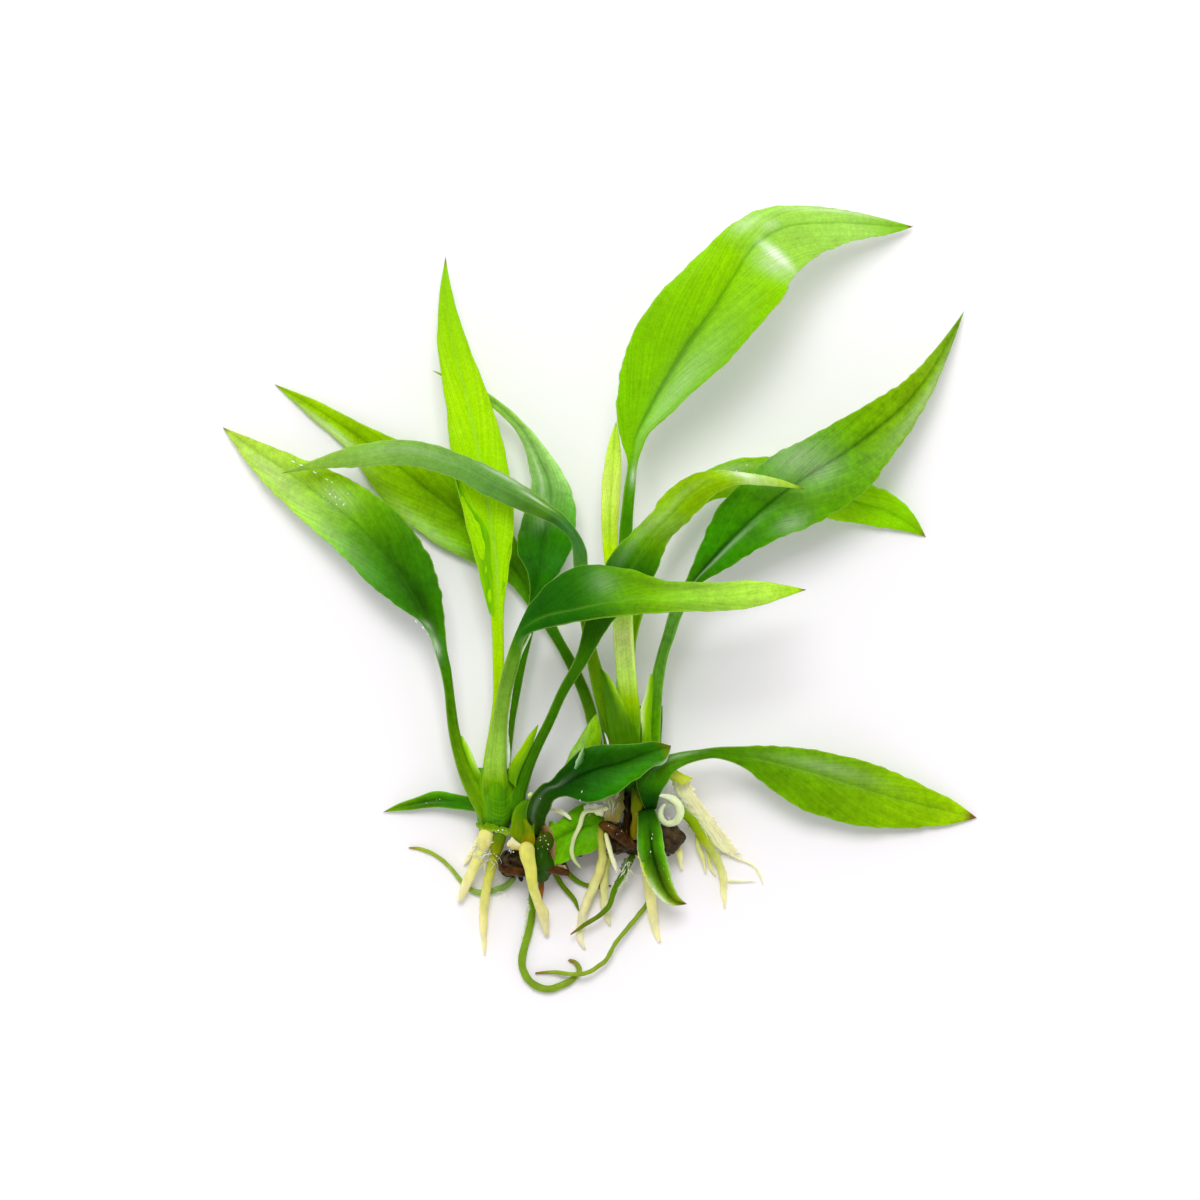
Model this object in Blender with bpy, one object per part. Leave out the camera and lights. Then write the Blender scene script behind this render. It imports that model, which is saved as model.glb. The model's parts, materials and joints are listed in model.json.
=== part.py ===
"""Lagenandra: a young plant with two tufts of leaves on one creeping rhizome, lifted with bare roots.

It lies on its back on the surface z = 0. +Y points to the leaf tips, +X to the right tuft and +Z up.
The origin is the middle of the plant's outline, on the surface. All numbers below are millimetres.

A leaf is a stalk followed by a blade. A stalk row is (x, y, z, width, depth) of its middle line.
A blade row is three points across the blade, (left edge, midrib, right edge), seen from base to tip,
and the last blade row is the tip. A root row is (x, y, z, radius).
"""

import math

import bmesh
import bpy
import numpy as np

MM = 0.001

BLADE_THICKNESS = 0.8
BLADE_CAMBER = 0.06  # how far each half of a blade swells, as a share of its width
RING_SPACING = 4.6  # along a leaf
ROOT_SPACING = 2.6  # along a root
THREAD_SPACING = 2.2  # along a thin green root

GREEN = (0.13, 0.36, 0.02)
DARK_GREEN = (0.04, 0.19, 0.01)
YELLOW_GREEN = (0.33, 0.67, 0.01)
GREY_GREEN = (0.12, 0.33, 0.08)
OLIVE = (0.20, 0.33, 0.03)
ROOT_YELLOW = (0.80, 0.75, 0.32)
ROOT_GREEN = (0.12, 0.25, 0.04)
RHIZOME_BROWN = (0.07, 0.04, 0.015)
WET = 0.3
SATIN = 0.45

LEAVES = {
    "leaf_left_outer": {
        "colour": GREEN,
        "stalk": [
            (-20.6, -32.6, 4.5, 2.0, 2.2),
            (-23.5, -24.8, 6.5, 1.7, 1.9),
            (-25.0, -16.7, 8.2, 1.6, 1.7),
            (-26.4, -9.2, 9.2, 1.8, 1.5),
        ],
        "blade": [
            ((-28.7, -5.3, 9.2), (-27.2, -6.0, 9.4), (-25.7, -5.0, 9.6)),
            ((-33.8, -1.0, 8.8), (-30.5, 0.0, 9.3), (-26.5, 1.7, 10.3)),
            ((-38.0, 2.3, 7.8), (-33.5, 4.8, 8.8), (-28.3, 7.3, 10.2)),
            ((-43.3, 7.8, 6.8), (-39.0, 11.2, 7.9), (-34.0, 15.0, 9.6)),
            ((-49.5, 13.2, 5.4), (-45.8, 16.8, 6.3), (-41.5, 20.0, 8.0)),
            ((-55.8, 19.3, 3.6), (-52.5, 21.7, 4.2), (-49.0, 23.3, 5.4)),
            ((-59.7, 24.2, 1.9), (-58.3, 25.5, 2.0), (-57.0, 26.5, 2.5)),
            (-62.9, 28.8, 0.5),
        ],
    },
    "leaf_left_upright": {
        "colour": YELLOW_GREEN,
        "stalk": [
            (-17.9, -32.7, 2.6, 2.2, 1.8),
            (-17.3, -24.2, 4.0, 1.8, 1.6),
            (-17.1, -16.7, 6.0, 1.4, 1.5),
            (-16.9, -10.0, 7.5, 1.8, 1.3),
        ],
        "blade": [
            ((-18.3, -1.8, 8.8), (-17.0, -1.8, 8.6), (-16.0, -1.8, 8.8)),
            ((-20.7, 6.7, 9.8), (-17.3, 7.0, 9.2), (-14.8, 7.3, 9.8)),
            ((-22.5, 13.5, 10.2), (-18.3, 13.7, 9.4), (-14.3, 14.0, 10.0)),
            ((-24.2, 20.5, 10.2), (-19.5, 20.8, 9.4), (-15.0, 21.3, 10.0)),
            ((-25.0, 26.8, 10.0), (-20.7, 27.2, 9.2), (-16.5, 27.5, 9.8)),
            ((-26.0, 34.8, 9.7), (-22.5, 35.0, 9.0), (-19.0, 35.3, 9.5)),
            ((-27.0, 42.8, 9.0), (-24.5, 42.8, 8.5), (-22.0, 42.8, 8.9)),
            ((-26.8, 50.0, 7.5), (-25.6, 50.0, 7.2), (-24.3, 50.0, 7.4)),
            (-25.7, 57.2, 5.0),
        ],
    },
    "leaf_left_front": {
        "colour": GREEN,
        "stalk": [
            (-17.3, -32.7, 7.6, 4.0, 2.4),
            (-17.1, -25.0, 10.0, 3.7, 2.4),
            (-16.1, -16.7, 14.0, 3.0, 2.1),
            (-14.4, -10.3, 18.5, 2.3, 1.9),
        ],
        "blade": [
            ((-13.6, -4.6, 21.6), (-13.2, -5.4, 22.2), (-12.0, -5.9, 22.6)),
            ((-11.0, 0.2, 23.0), (-9.2, -2.7, 24.6), (-8.0, -4.5, 25.0)),
            ((-6.8, 4.2, 23.2), (-4.8, -1.7, 26.6), (-3.8, -3.7, 27.2)),
            ((-1.8, 5.8, 23.2), (0.0, -0.7, 27.6), (0.8, -3.0, 28.4)),
            ((4.2, 5.2, 23.8), (5.8, 0.2, 27.8), (6.7, -2.5, 28.6)),
            ((10.8, 3.3, 24.6), (12.0, 0.3, 27.4), (13.0, -2.0, 28.0)),
            ((18.3, 3.0, 24.6), (19.3, 0.5, 26.4), (20.0, -1.8, 27.0)),
            ((25.8, 3.2, 23.6), (26.2, 1.0, 24.6), (26.3, -1.0, 25.0)),
            ((30.5, 2.5, 22.2), (30.7, 1.5, 22.6), (30.8, 0.5, 22.8)),
            (34.2, 1.7, 20.6),
        ],
    },
    "leaf_left_back": {
        "colour": DARK_GREEN,
        "stalk": [
            (-15.0, -32.7, 2.8, 1.8, 1.6),
            (-14.6, -24.2, 3.6, 1.6, 1.4),
            (-13.7, -16.7, 4.8, 1.5, 1.4),
            (-12.6, -10.0, 5.5, 1.6, 1.3),
            (-11.6, -4.0, 6.0, 1.8, 1.2),
        ],
        "blade": [
            ((-11.8, 0.0, 6.4), (-11.0, 0.4, 6.2), (-9.8, 1.2, 6.5)),
            ((-12.0, 4.2, 6.9), (-9.8, 5.0, 6.4), (-6.7, 4.7, 7.2)),
            ((-13.8, 8.3, 7.2), (-9.5, 9.2, 6.6), (-4.5, 9.2, 7.6)),
            ((-13.2, 12.5, 7.3), (-8.5, 13.7, 6.8), (-4.0, 14.2, 7.8)),
            ((-11.5, 18.0, 7.2), (-8.2, 18.3, 6.8), (-4.8, 18.3, 7.8)),
            ((-12.0, 23.3, 7.0), (-10.0, 23.3, 6.6), (-7.8, 23.5, 7.4)),
            ((-14.0, 28.0, 6.6), (-12.9, 28.3, 6.4), (-11.8, 28.6, 6.8)),
            ((-18.2, 32.2, 6.1), (-17.6, 32.8, 6.0), (-17.1, 33.4, 6.2)),
            ((-24.3, 36.0, 5.1), (-24.2, 36.5, 5.0), (-24.0, 37.0, 5.1)),
            (-28.0, 38.2, 4.2),
        ],
    },
    "leaf_left_crossing": {
        "colour": OLIVE,
        "stalk": [
            (-12.9, -32.7, 7.0, 2.8, 2.2),
            (-11.5, -27.5, 8.6, 2.5, 2.1),
            (-8.9, -20.5, 11.4, 2.3, 1.8),
            (-6.4, -15.2, 13.9, 2.2, 1.7),
            (-3.0, -9.6, 16.6, 2.5, 1.6),
        ],
        "blade": [
            ((-2.3, -2.6, 18.4), (-0.3, -3.3, 18.6), (1.8, -4.0, 18.4)),
            ((-0.7, 2.0, 19.2), (2.8, 1.7, 19.9), (6.7, 1.3, 19.4)),
            ((1.7, 7.3, 19.8), (5.8, 6.3, 20.6), (9.5, 4.8, 20.0)),
            ((5.2, 11.2, 20.2), (8.3, 10.5, 21.2), (11.2, 9.5, 20.4)),
            ((8.7, 14.8, 20.6), (12.0, 14.3, 21.6), (15.0, 13.3, 20.8)),
            ((11.3, 18.3, 20.8), (14.7, 17.2, 21.9), (17.7, 16.2, 21.0)),
            ((15.3, 20.8, 20.8), (17.7, 19.3, 22.0), (19.7, 17.8, 21.0)),
            ((19.3, 21.5, 20.4), (21.2, 20.3, 21.4), (22.5, 19.0, 20.6)),
            ((25.0, 21.0, 19.6), (25.7, 20.0, 20.2), (26.2, 19.0, 19.6)),
            ((29.8, 20.0, 18.0), (30.0, 19.4, 18.3), (30.2, 18.7, 18.0)),
            (34.2, 18.3, 16.2),
        ],
    },
    "leaf_left_torn": {
        "colour": DARK_GREEN,
        "stalk": [
            (-11.6, -37.8, 6.2, 2.6, 1.8),
            (-10.4, -35.6, 7.2, 2.6, 1.7),
            (-9.2, -33.6, 9.0, 2.5, 1.6),
            (-7.8, -31.9, 10.9, 2.4, 1.4),
        ],
        "blade": [
            ((-8.2, -30.0, 12.0), (-6.3, -31.0, 12.0), (-5.6, -32.6, 12.2)),
            ((-6.0, -27.4, 12.8), (-3.8, -29.5, 12.4), (-2.3, -33.6, 13.4)),
            ((-2.6, -24.6, 13.4), (-0.3, -28.0, 12.8), (1.5, -32.8, 13.8)),
            ((1.3, -24.0, 13.6), (3.7, -27.0, 13.0), (5.3, -30.3, 13.8)),
            ((6.0, -23.8, 13.6), (7.0, -25.7, 13.2), (8.5, -28.0, 13.6)),
            ((9.8, -23.6, 13.2), (10.6, -24.6, 13.0), (11.3, -26.2, 13.2)),
            (11.8, -24.2, 12.8),
        ],
    },
    "leaf_left_low": {
        "colour": DARK_GREEN,
        "stalk": [
            (-21.5, -34.2, 3.2, 1.9, 1.3),
        ],
        "blade": [
            ((-24.2, -34.8, 2.9), (-24.2, -33.5, 2.6), (-24.2, -32.3, 3.1)),
            ((-27.3, -34.5, 2.3), (-27.3, -33.3, 2.0), (-27.3, -31.8, 2.7)),
            ((-31.3, -35.0, 1.5), (-31.2, -34.0, 1.3), (-31.0, -33.0, 1.7)),
            ((-34.3, -35.2, 0.9), (-34.3, -34.7, 0.8), (-34.2, -34.2, 1.0)),
            (-36.2, -35.4, 0.5),
        ],
    },
    "leaf_right_crossing_low": {
        "colour": GREEN,
        "stalk": [
            (-0.6, -24.7, 3.0, 2.1, 1.8),
            (-1.6, -18.6, 3.2, 2.0, 1.6),
            (-4.4, -11.4, 3.0, 1.9, 1.4),
            (-7.8, -5.2, 2.6, 1.9, 1.2),
        ],
        "blade": [
            ((-11.7, -1.4, 2.2), (-10.3, -1.0, 1.9), (-9.0, 0.2, 2.3)),
            ((-15.2, 2.8, 1.9), (-14.0, 5.0, 1.2), (-12.5, 7.3, 2.2)),
            ((-21.0, 6.2, 2.2), (-18.8, 9.8, 0.7), (-16.2, 13.3, 2.2)),
            ((-27.0, 9.2, 2.2), (-24.0, 14.7, 0.45), (-21.2, 19.3, 2.0)),
            ((-32.7, 13.5, 2.0), (-30.0, 19.3, 0.45), (-28.0, 24.0, 1.9)),
            ((-37.2, 18.0, 1.8), (-35.7, 23.8, 0.5), (-34.0, 26.8, 1.8)),
            ((-41.8, 24.7, 1.5), (-41.2, 27.8, 0.6), (-40.0, 29.5, 1.5)),
            ((-47.8, 30.0, 1.1), (-47.3, 31.8, 0.6), (-46.3, 32.8, 1.1)),
            (-54.3, 36.0, 0.5),
        ],
    },
    "leaf_right_crossing_high": {
        "colour": GREY_GREEN,
        "stalk": [
            (0.6, -24.7, 6.3, 2.2, 2.0),
            (0.5, -18.3, 7.6, 2.1, 2.0),
            (-0.8, -12.0, 9.4, 2.1, 1.8),
            (-1.9, -6.7, 11.3, 1.9, 1.7),
            (-2.7, 0.0, 13.4, 2.2, 1.5),
            (-3.2, 5.6, 15.0, 2.4, 1.3),
        ],
        "blade": [
            ((-4.8, 9.4, 15.8), (-3.3, 8.9, 16.2), (-2.3, 8.5, 15.9)),
            ((-7.9, 12.6, 16.2), (-6.5, 13.2, 16.8), (-5.3, 13.4, 16.2)),
            ((-12.5, 14.5, 16.2), (-10.5, 15.7, 17.2), (-9.2, 16.6, 16.4)),
            ((-18.7, 17.2, 16.0), (-16.7, 18.8, 17.2), (-15.0, 20.5, 16.4)),
            ((-24.2, 20.2, 15.8), (-23.2, 22.2, 16.8), (-22.5, 24.0, 16.0)),
            ((-32.5, 22.3, 14.8), (-32.0, 24.7, 15.6), (-31.3, 26.5, 14.8)),
            ((-40.7, 22.0, 13.0), (-40.7, 23.8, 13.6), (-40.5, 25.7, 13.0)),
            ((-47.0, 21.7, 11.1), (-47.3, 22.5, 11.4), (-47.5, 23.3, 11.2)),
            (-53.0, 21.0, 9.4),
        ],
    },
    "leaf_right_top": {
        "colour": GREEN,
        "stalk": [
            (4.5, -24.7, 8.2, 4.2, 2.2),
            (4.7, -19.7, 9.4, 4.1, 2.2),
            (4.4, -13.3, 10.7, 3.4, 2.1),
            (3.8, -3.2, 12.2, 3.4, 1.9),
            (4.2, 4.2, 12.9, 2.8, 1.8),
            (4.3, 11.3, 13.6, 2.2, 1.7),
            (4.9, 18.3, 14.6, 1.9, 1.5),
        ],
        "blade": [
            ((4.5, 23.2, 15.6), (5.3, 23.0, 15.6), (6.4, 23.2, 15.6)),
            ((3.4, 26.7, 16.6), (5.7, 26.3, 16.4), (7.7, 26.7, 16.6)),
            ((2.7, 32.0, 18.2), (8.0, 31.3, 17.6), (11.3, 30.5, 18.0)),
            ((3.5, 38.2, 20.0), (10.7, 36.3, 19.0), (16.5, 35.3, 19.6)),
            ((6.2, 45.7, 21.6), (14.5, 42.5, 20.2), (21.7, 40.0, 21.0)),
            ((11.3, 52.3, 22.0), (18.2, 47.5, 20.6), (26.2, 45.2, 21.2)),
            ((17.3, 58.0, 21.4), (21.8, 53.0, 20.2), (30.5, 50.3, 20.2)),
            ((21.7, 62.2, 19.6), (25.3, 58.3, 19.0), (31.8, 53.2, 18.4)),
            ((27.5, 65.0, 16.6), (30.5, 61.7, 16.4), (35.3, 56.5, 15.6)),
            ((34.7, 65.4, 12.4), (37.0, 62.5, 12.4), (39.7, 58.8, 11.6)),
            ((42.5, 64.5, 8.0), (43.3, 62.5, 7.6), (44.7, 60.2, 7.4)),
            ((48.0, 63.3, 4.2), (48.3, 62.2, 3.9), (48.8, 61.0, 3.9)),
            (52.2, 62.2, 1.2),
        ],
    },
    "leaf_right_rolled": {
        "colour": YELLOW_GREEN,
        "stalk": [
            (2.2, -24.7, 4.6, 1.6, 1.2),
            (1.9, -15.0, 6.2, 1.5, 1.2),
            (1.7, -3.3, 8.0, 1.6, 1.2),
        ],
        "blade": [
            ((0.7, 6.5, 9.6), (1.8, 6.5, 9.0), (2.8, 6.5, 9.5)),
            ((0.2, 15.0, 10.3), (1.7, 15.0, 9.6), (3.2, 15.0, 10.2)),
            ((0.5, 20.8, 10.7), (2.1, 20.8, 10.0), (3.5, 20.8, 10.6)),
            ((1.3, 25.7, 10.9), (2.4, 25.7, 10.4), (3.4, 25.7, 10.8)),
            (2.7, 29.7, 10.6),
        ],
    },
    "leaf_right_back": {
        "colour": GREEN,
        "stalk": [
            (6.3, -24.7, 4.2, 1.8, 1.4),
            (6.8, -16.7, 5.0, 1.6, 1.4),
            (6.8, -8.3, 5.8, 1.5, 1.4),
            (7.7, 0.0, 6.6, 1.6, 1.3),
        ],
        "blade": [
            ((8.3, 7.0, 7.4), (9.5, 6.7, 7.2), (10.7, 6.2, 7.4)),
            ((11.7, 14.2, 8.2), (13.3, 13.0, 7.8), (15.0, 11.7, 8.2)),
            ((15.8, 20.0, 8.6), (18.0, 17.5, 8.0), (20.3, 15.3, 8.4)),
            ((21.7, 23.2, 8.6), (23.7, 20.0, 7.8), (25.3, 17.0, 8.2)),
            ((28.3, 23.8, 8.0), (29.7, 20.3, 7.0), (30.0, 16.7, 7.4)),
            ((36.7, 22.8, 6.6), (36.7, 19.2, 5.4), (36.2, 15.0, 6.0)),
            ((43.7, 19.7, 4.4), (42.7, 16.3, 3.2), (40.8, 13.0, 3.8)),
            ((49.2, 17.3, 2.4), (47.7, 14.8, 1.4), (46.2, 12.2, 1.8)),
            ((52.3, 14.2, 1.2), (51.3, 12.8, 0.7), (50.5, 11.5, 1.0)),
            (54.3, 10.5, 0.4),
        ],
    },
    "leaf_right_large": {
        "colour": DARK_GREEN,
        "stalk": [
            (9.2, -24.7, 6.4, 2.3, 2.0),
            (9.3, -18.8, 7.4, 2.3, 2.0),
            (9.8, -12.5, 8.6, 2.0, 1.8),
            (10.8, -6.7, 9.6, 2.0, 1.7),
            (12.6, -2.2, 10.4, 2.1, 1.5),
        ],
        "blade": [
            ((14.0, 2.8, 11.2), (15.2, 2.7, 11.0), (16.4, 2.4, 11.2)),
            ((16.2, 8.0, 12.2), (18.7, 6.8, 11.6), (20.5, 4.8, 12.2)),
            ((18.7, 13.8, 13.2), (22.7, 11.0, 12.2), (24.7, 7.5, 13.0)),
            ((23.0, 19.2, 13.8), (27.5, 15.5, 12.4), (30.5, 10.5, 13.4)),
            ((28.7, 24.0, 13.8), (33.3, 19.8, 12.2), (37.0, 13.2, 13.0)),
            ((35.5, 27.5, 13.2), (39.7, 23.8, 11.6), (44.2, 18.3, 12.2)),
            ((42.5, 31.5, 11.8), (45.7, 28.2, 10.2), (48.8, 24.2, 10.6)),
            ((49.2, 35.5, 9.2), (51.0, 32.8, 8.0), (53.0, 30.2, 8.2)),
            ((54.0, 39.7, 6.2), (55.5, 38.7, 5.4), (56.7, 37.5, 5.6)),
            ((57.8, 44.3, 3.2), (58.4, 43.8, 3.0), (59.0, 43.3, 3.1)),
            (60.7, 48.2, 1.0),
        ],
    },
    "leaf_right_low": {
        "colour": GREEN,
        "stalk": [
            (6.6, -32.2, 9.9, 3.2, 1.6),
            (9.6, -29.0, 10.4, 3.4, 1.6),
            (14.0, -26.1, 10.2, 2.2, 1.5),
            (18.7, -25.4, 9.4, 1.9, 1.4),
        ],
        "blade": [
            ((23.7, -24.3, 8.6), (23.8, -26.0, 8.2), (23.5, -27.7, 8.6)),
            ((28.3, -24.2, 7.8), (28.7, -27.0, 7.0), (27.2, -30.5, 7.6)),
            ((34.2, -24.8, 6.8), (34.3, -28.7, 5.8), (31.7, -34.3, 6.4)),
            ((40.8, -26.7, 5.4), (40.5, -30.7, 4.2), (38.7, -37.3, 4.8)),
            ((47.5, -29.7, 3.8), (46.8, -32.8, 2.6), (46.2, -38.0, 3.2)),
            ((54.2, -32.3, 2.2), (53.5, -34.7, 1.3), (53.3, -38.0, 1.7)),
            ((58.8, -34.0, 1.2), (58.5, -35.7, 0.7), (58.3, -37.5, 1.0)),
            (62.8, -36.3, 0.4),
        ],
    },
    "leaf_right_hanging": {
        "colour": GREEN,
        "stalk": [
            (7.7, -35.1, 8.5, 3.0, 1.2),
        ],
        "blade": [
            ((10.2, -38.0, 11.4), (8.3, -38.0, 10.6), (6.2, -38.0, 11.4)),
            ((10.8, -41.7, 11.0), (8.7, -41.7, 10.2), (6.3, -41.7, 11.0)),
            ((11.7, -44.9, 9.6), (9.7, -45.3, 8.8), (7.3, -45.6, 9.6)),
            ((12.4, -47.8, 7.6), (11.0, -48.4, 7.0), (9.3, -49.0, 7.6)),
            ((13.5, -49.7, 5.6), (12.8, -50.2, 5.2), (12.0, -50.8, 5.6)),
            (14.5, -50.6, 4.2),
        ],
    },
    "leaf_right_old": {
        "colour": YELLOW_GREEN,
        "stalk": [
            (0.3, -36.3, 5.6, 2.0, 0.9),
        ],
        "blade": [
            ((-1.5, -40.6, 6.9), (-2.0, -37.0, 6.4), (-1.7, -34.3, 6.7)),
            ((-4.3, -42.6, 6.6), (-5.0, -38.3, 6.0), (-5.0, -34.8, 6.3)),
            ((-6.6, -43.4, 6.3), (-6.9, -39.4, 5.8), (-7.2, -36.0, 6.0)),
            (-7.5, -39.8, 5.8),
        ],
    },
    "bract_right": {
        "colour": YELLOW_GREEN,
        "stalk": [],
        "blade": [
            ((-3.8, -31.6, 6.8), (-2.0, -31.8, 6.9), (-0.2, -31.8, 6.8)),
            ((-6.4, -29.0, 8.9), (-4.2, -29.0, 9.3), (-2.0, -29.0, 9.1)),
            ((-5.4, -26.2, 9.2), (-2.8, -26.2, 9.7), (-0.4, -26.2, 9.4)),
            ((-3.6, -23.2, 9.2), (-1.5, -22.9, 9.7), (0.2, -22.6, 9.4)),
            ((-2.0, -20.6, 9.2), (-1.0, -20.5, 9.5), (0.0, -20.4, 9.4)),
            (-0.6, -18.8, 9.2),
        ],
    },
    "sheath_left": {
        "colour": OLIVE,
        "stalk": [
            (-13.6, -41.0, 8.4, 2.6, 1.0),
            (-13.3, -38.6, 8.6, 3.5, 1.1),
            (-12.9, -35.6, 9.1, 3.8, 1.0),
            (-12.4, -33.4, 9.6, 3.0, 0.8),
        ],
        "blade": [],
    },
}

# A swelling row is (x, y, half width, lowest z, highest z) of one section across it.
CROWNS = {
    "crown_left": [
        (-16.4, -33.2, 5.1, 1.4, 9.1),
        (-16.4, -35.2, 4.9, 1.2, 8.9),
        (-16.9, -37.2, 3.9, 1.6, 8.1),
        (-17.2, -38.4, 3.0, 2.0, 7.2),
        (-16.4, -39.0, 1.4, 2.2, 6.0),
        (-16.3, -41.2, 1.3, 2.0, 5.4),
    ],
    "crown_right": [
        (4.3, -25.2, 6.0, 1.6, 9.4),
        (4.6, -28.0, 5.8, 1.3, 9.2),
        (5.0, -32.0, 5.4, 1.3, 8.9),
        (4.9, -35.0, 5.0, 1.5, 8.2),
        (4.8, -37.0, 3.8, 2.4, 6.8),
    ],
}

# A rhizome row is (x, y, half width, height); its underside is flat on the surface.
RHIZOME = [
    (-17.0, -43.6, 1.6, 4.4),
    (-15.0, -43.8, 2.2, 5.6),
    (-12.4, -43.4, 2.5, 6.4),
    (-9.8, -42.5, 3.7, 7.0),
    (-7.6, -41.6, 3.0, 5.0),
    (-4.6, -40.6, 2.0, 4.2),
    (-0.8, -39.8, 1.9, 4.4),
    (2.0, -39.6, 2.3, 6.2),
    (5.6, -39.8, 2.5, 7.0),
    (9.4, -39.7, 2.4, 6.8),
    (12.4, -39.7, 2.3, 5.8),
    (13.6, -39.8, 1.6, 4.4),
]
RHIZOME_FOOT = 1.3  # width of the flat underside

ROOTS = {
    "root_left_1": [(-19.9, -38.8, 2.9, 0.55), (-21.1, -41.2, 1.8, 0.55), (-22.4, -43.8, 0.6, 0.3)],
    "root_left_2": [
        (-19.2, -39.1, 6.1, 0.8),
        (-20.2, -42.4, 5.0, 0.9),
        (-21.2, -45.6, 3.3, 0.85),
        (-22.5, -48.0, 2.2, 0.7),
        (-23.6, -50.2, 1.3, 0.3),
    ],
    "root_left_3": [
        (-18.7, -39.1, 4.2, 0.75),
        (-18.8, -42.2, 3.3, 0.85),
        (-19.0, -46.0, 2.8, 0.8),
        (-19.1, -51.0, 1.6, 0.7),
        (-19.2, -59.0, 0.6, 0.35),
    ],
    "root_left_4": [
        (-12.6, -41.7, 9.0, 1.15),
        (-11.8, -44.0, 8.9, 1.15),
        (-11.0, -47.4, 7.4, 1.0),
        (-10.5, -51.0, 4.2, 1.0),
        (-9.6, -54.0, 1.9, 0.8),
        (-8.8, -56.0, 0.8, 0.4),
    ],
    "root_left_5": [(-9.5, -46.4, 2.8, 0.6), (-9.6, -48.6, 1.9, 0.5), (-9.7, -50.8, 0.9, 0.25)],
    "root_right_1": [
        (1.7, -34.2, 8.0, 0.45),
        (-2.2, -36.2, 8.0, 0.4),
        (-4.0, -38.9, 7.6, 0.4),
        (-4.5, -41.6, 7.4, 0.4),
        (-3.2, -44.3, 6.8, 0.25),
    ],
    "root_right_2": [
        (1.0, -39.9, 6.7, 0.8),
        (-0.2, -43.4, 5.2, 0.9),
        (-1.6, -47.6, 2.8, 0.85),
        (-3.2, -52.2, 1.0, 0.7),
        (-3.7, -55.7, 0.7, 0.6),
        (-2.7, -58.0, 0.6, 0.35),
    ],
    "root_right_3": [
        (1.6, -42.2, 3.6, 0.8),
        (0.6, -46.8, 2.4, 0.75),
        (0.5, -50.7, 1.2, 0.7),
        (1.4, -54.0, 0.6, 0.35),
    ],
    "root_right_4": [
        (7.6, -42.6, 3.4, 0.9),
        (8.2, -46.0, 2.2, 0.95),
        (8.8, -50.4, 1.2, 0.9),
        (9.4, -54.5, 0.9, 0.75),
        (10.0, -57.0, 0.6, 0.35),
    ],
    "root_right_5": [
        (11.9, -28.8, 5.0, 1.6),
        (15.3, -33.1, 4.2, 1.6),
        (17.9, -37.2, 2.8, 1.35),
        (20.3, -41.6, 1.5, 0.9),
        (22.6, -43.4, 0.8, 0.4),
    ],
    "root_right_6": [
        (14.4, -38.7, 3.4, 0.8),
        (16.6, -40.4, 2.2, 0.8),
        (18.6, -43.0, 1.2, 0.75),
        (20.0, -46.0, 0.8, 0.7),
        (20.7, -48.8, 0.7, 0.6),
        (20.8, -51.3, 0.5, 0.3),
    ],
    "root_right_7": [(12.9, -42.3, 2.4, 0.6), (13.4, -43.6, 1.4, 0.55), (13.8, -45.0, 0.7, 0.25)],
}

THREADS = {
    "root_green_1": [
        (-14.6, -46.4, 1.0, 0.5),
        (-17.0, -48.0, 0.5, 0.45),
        (-20.7, -48.8, 0.45, 0.45),
        (-23.6, -46.8, 0.45, 0.45),
        (-26.2, -43.6, 0.45, 0.4),
        (-29.8, -41.5, 0.4, 0.35),
        (-32.0, -41.3, 0.3, 0.25),
    ],
    "root_green_2": [
        (-11.8, -46.4, 2.0, 0.55),
        (-11.3, -49.8, 0.8, 0.6),
        (-12.0, -54.8, 0.7, 0.65),
        (-12.8, -58.8, 0.7, 0.65),
        (-13.0, -60.9, 0.7, 0.65),
        (-12.0, -63.2, 0.7, 0.65),
        (-10.3, -64.5, 0.7, 0.65),
        (-8.5, -64.8, 0.7, 0.65),
        (-6.2, -64.1, 0.65, 0.6),
        (-4.4, -63.0, 0.6, 0.55),
        (-3.5, -61.8, 0.55, 0.5),
        (-4.1, -60.4, 0.5, 0.45),
        (-5.4, -60.0, 0.4, 0.35),
    ],
    "root_green_3": [
        (5.2, -42.7, 3.0, 0.45),
        (6.4, -46.6, 3.2, 0.45),
        (7.4, -50.2, 3.2, 0.45),
        (5.8, -54.0, 2.6, 0.45),
        (3.4, -56.8, 2.0, 0.45),
        (1.4, -59.4, 1.9, 0.45),
        (-0.4, -61.1, 2.0, 0.45),
        (-2.6, -62.2, 2.1, 0.42),
        (-5.0, -62.3, 1.7, 0.4),
        (-7.8, -62.0, 0.7, 0.35),
        (-10.9, -62.2, 0.4, 0.25),
    ],
    "root_green_4": [(-7.6, -45.4, 1.2, 0.45), (-5.4, -48.9, 0.6, 0.45), (-3.9, -51.2, 0.4, 0.25)],
    "root_green_5": [
        (4.2, -42.5, 3.8, 0.6),
        (3.0, -47.4, 3.9, 0.65),
        (1.5, -50.6, 3.1, 0.6),
        (-0.4, -52.6, 2.8, 0.55),
        (-3.2, -54.4, 2.4, 0.45),
        (-5.4, -55.8, 1.9, 0.25),
    ],
    "root_green_6": [
        (-5.4, -43.8, 1.2, 0.45),
        (-4.0, -46.4, 0.6, 0.42),
        (-2.2, -47.7, 0.45, 0.4),
        (-0.2, -48.1, 0.4, 0.35),
        (2.0, -47.9, 0.35, 0.25),
    ],
}

CURLED_ROOT_MIDDLE = (11.5, -35.2, 5.2)
CURLED_ROOT_RADIUS = 1.4
CURLED_ROOT_THICKNESS = 1.0
CURLED_ROOT_TURN = (195, 490)  # degrees, start and end, seen from above


def clear_scene():
    """Remove every object that is in the file."""
    for old in list(bpy.data.objects):
        bpy.data.objects.remove(old, do_unlink=True)


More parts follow.
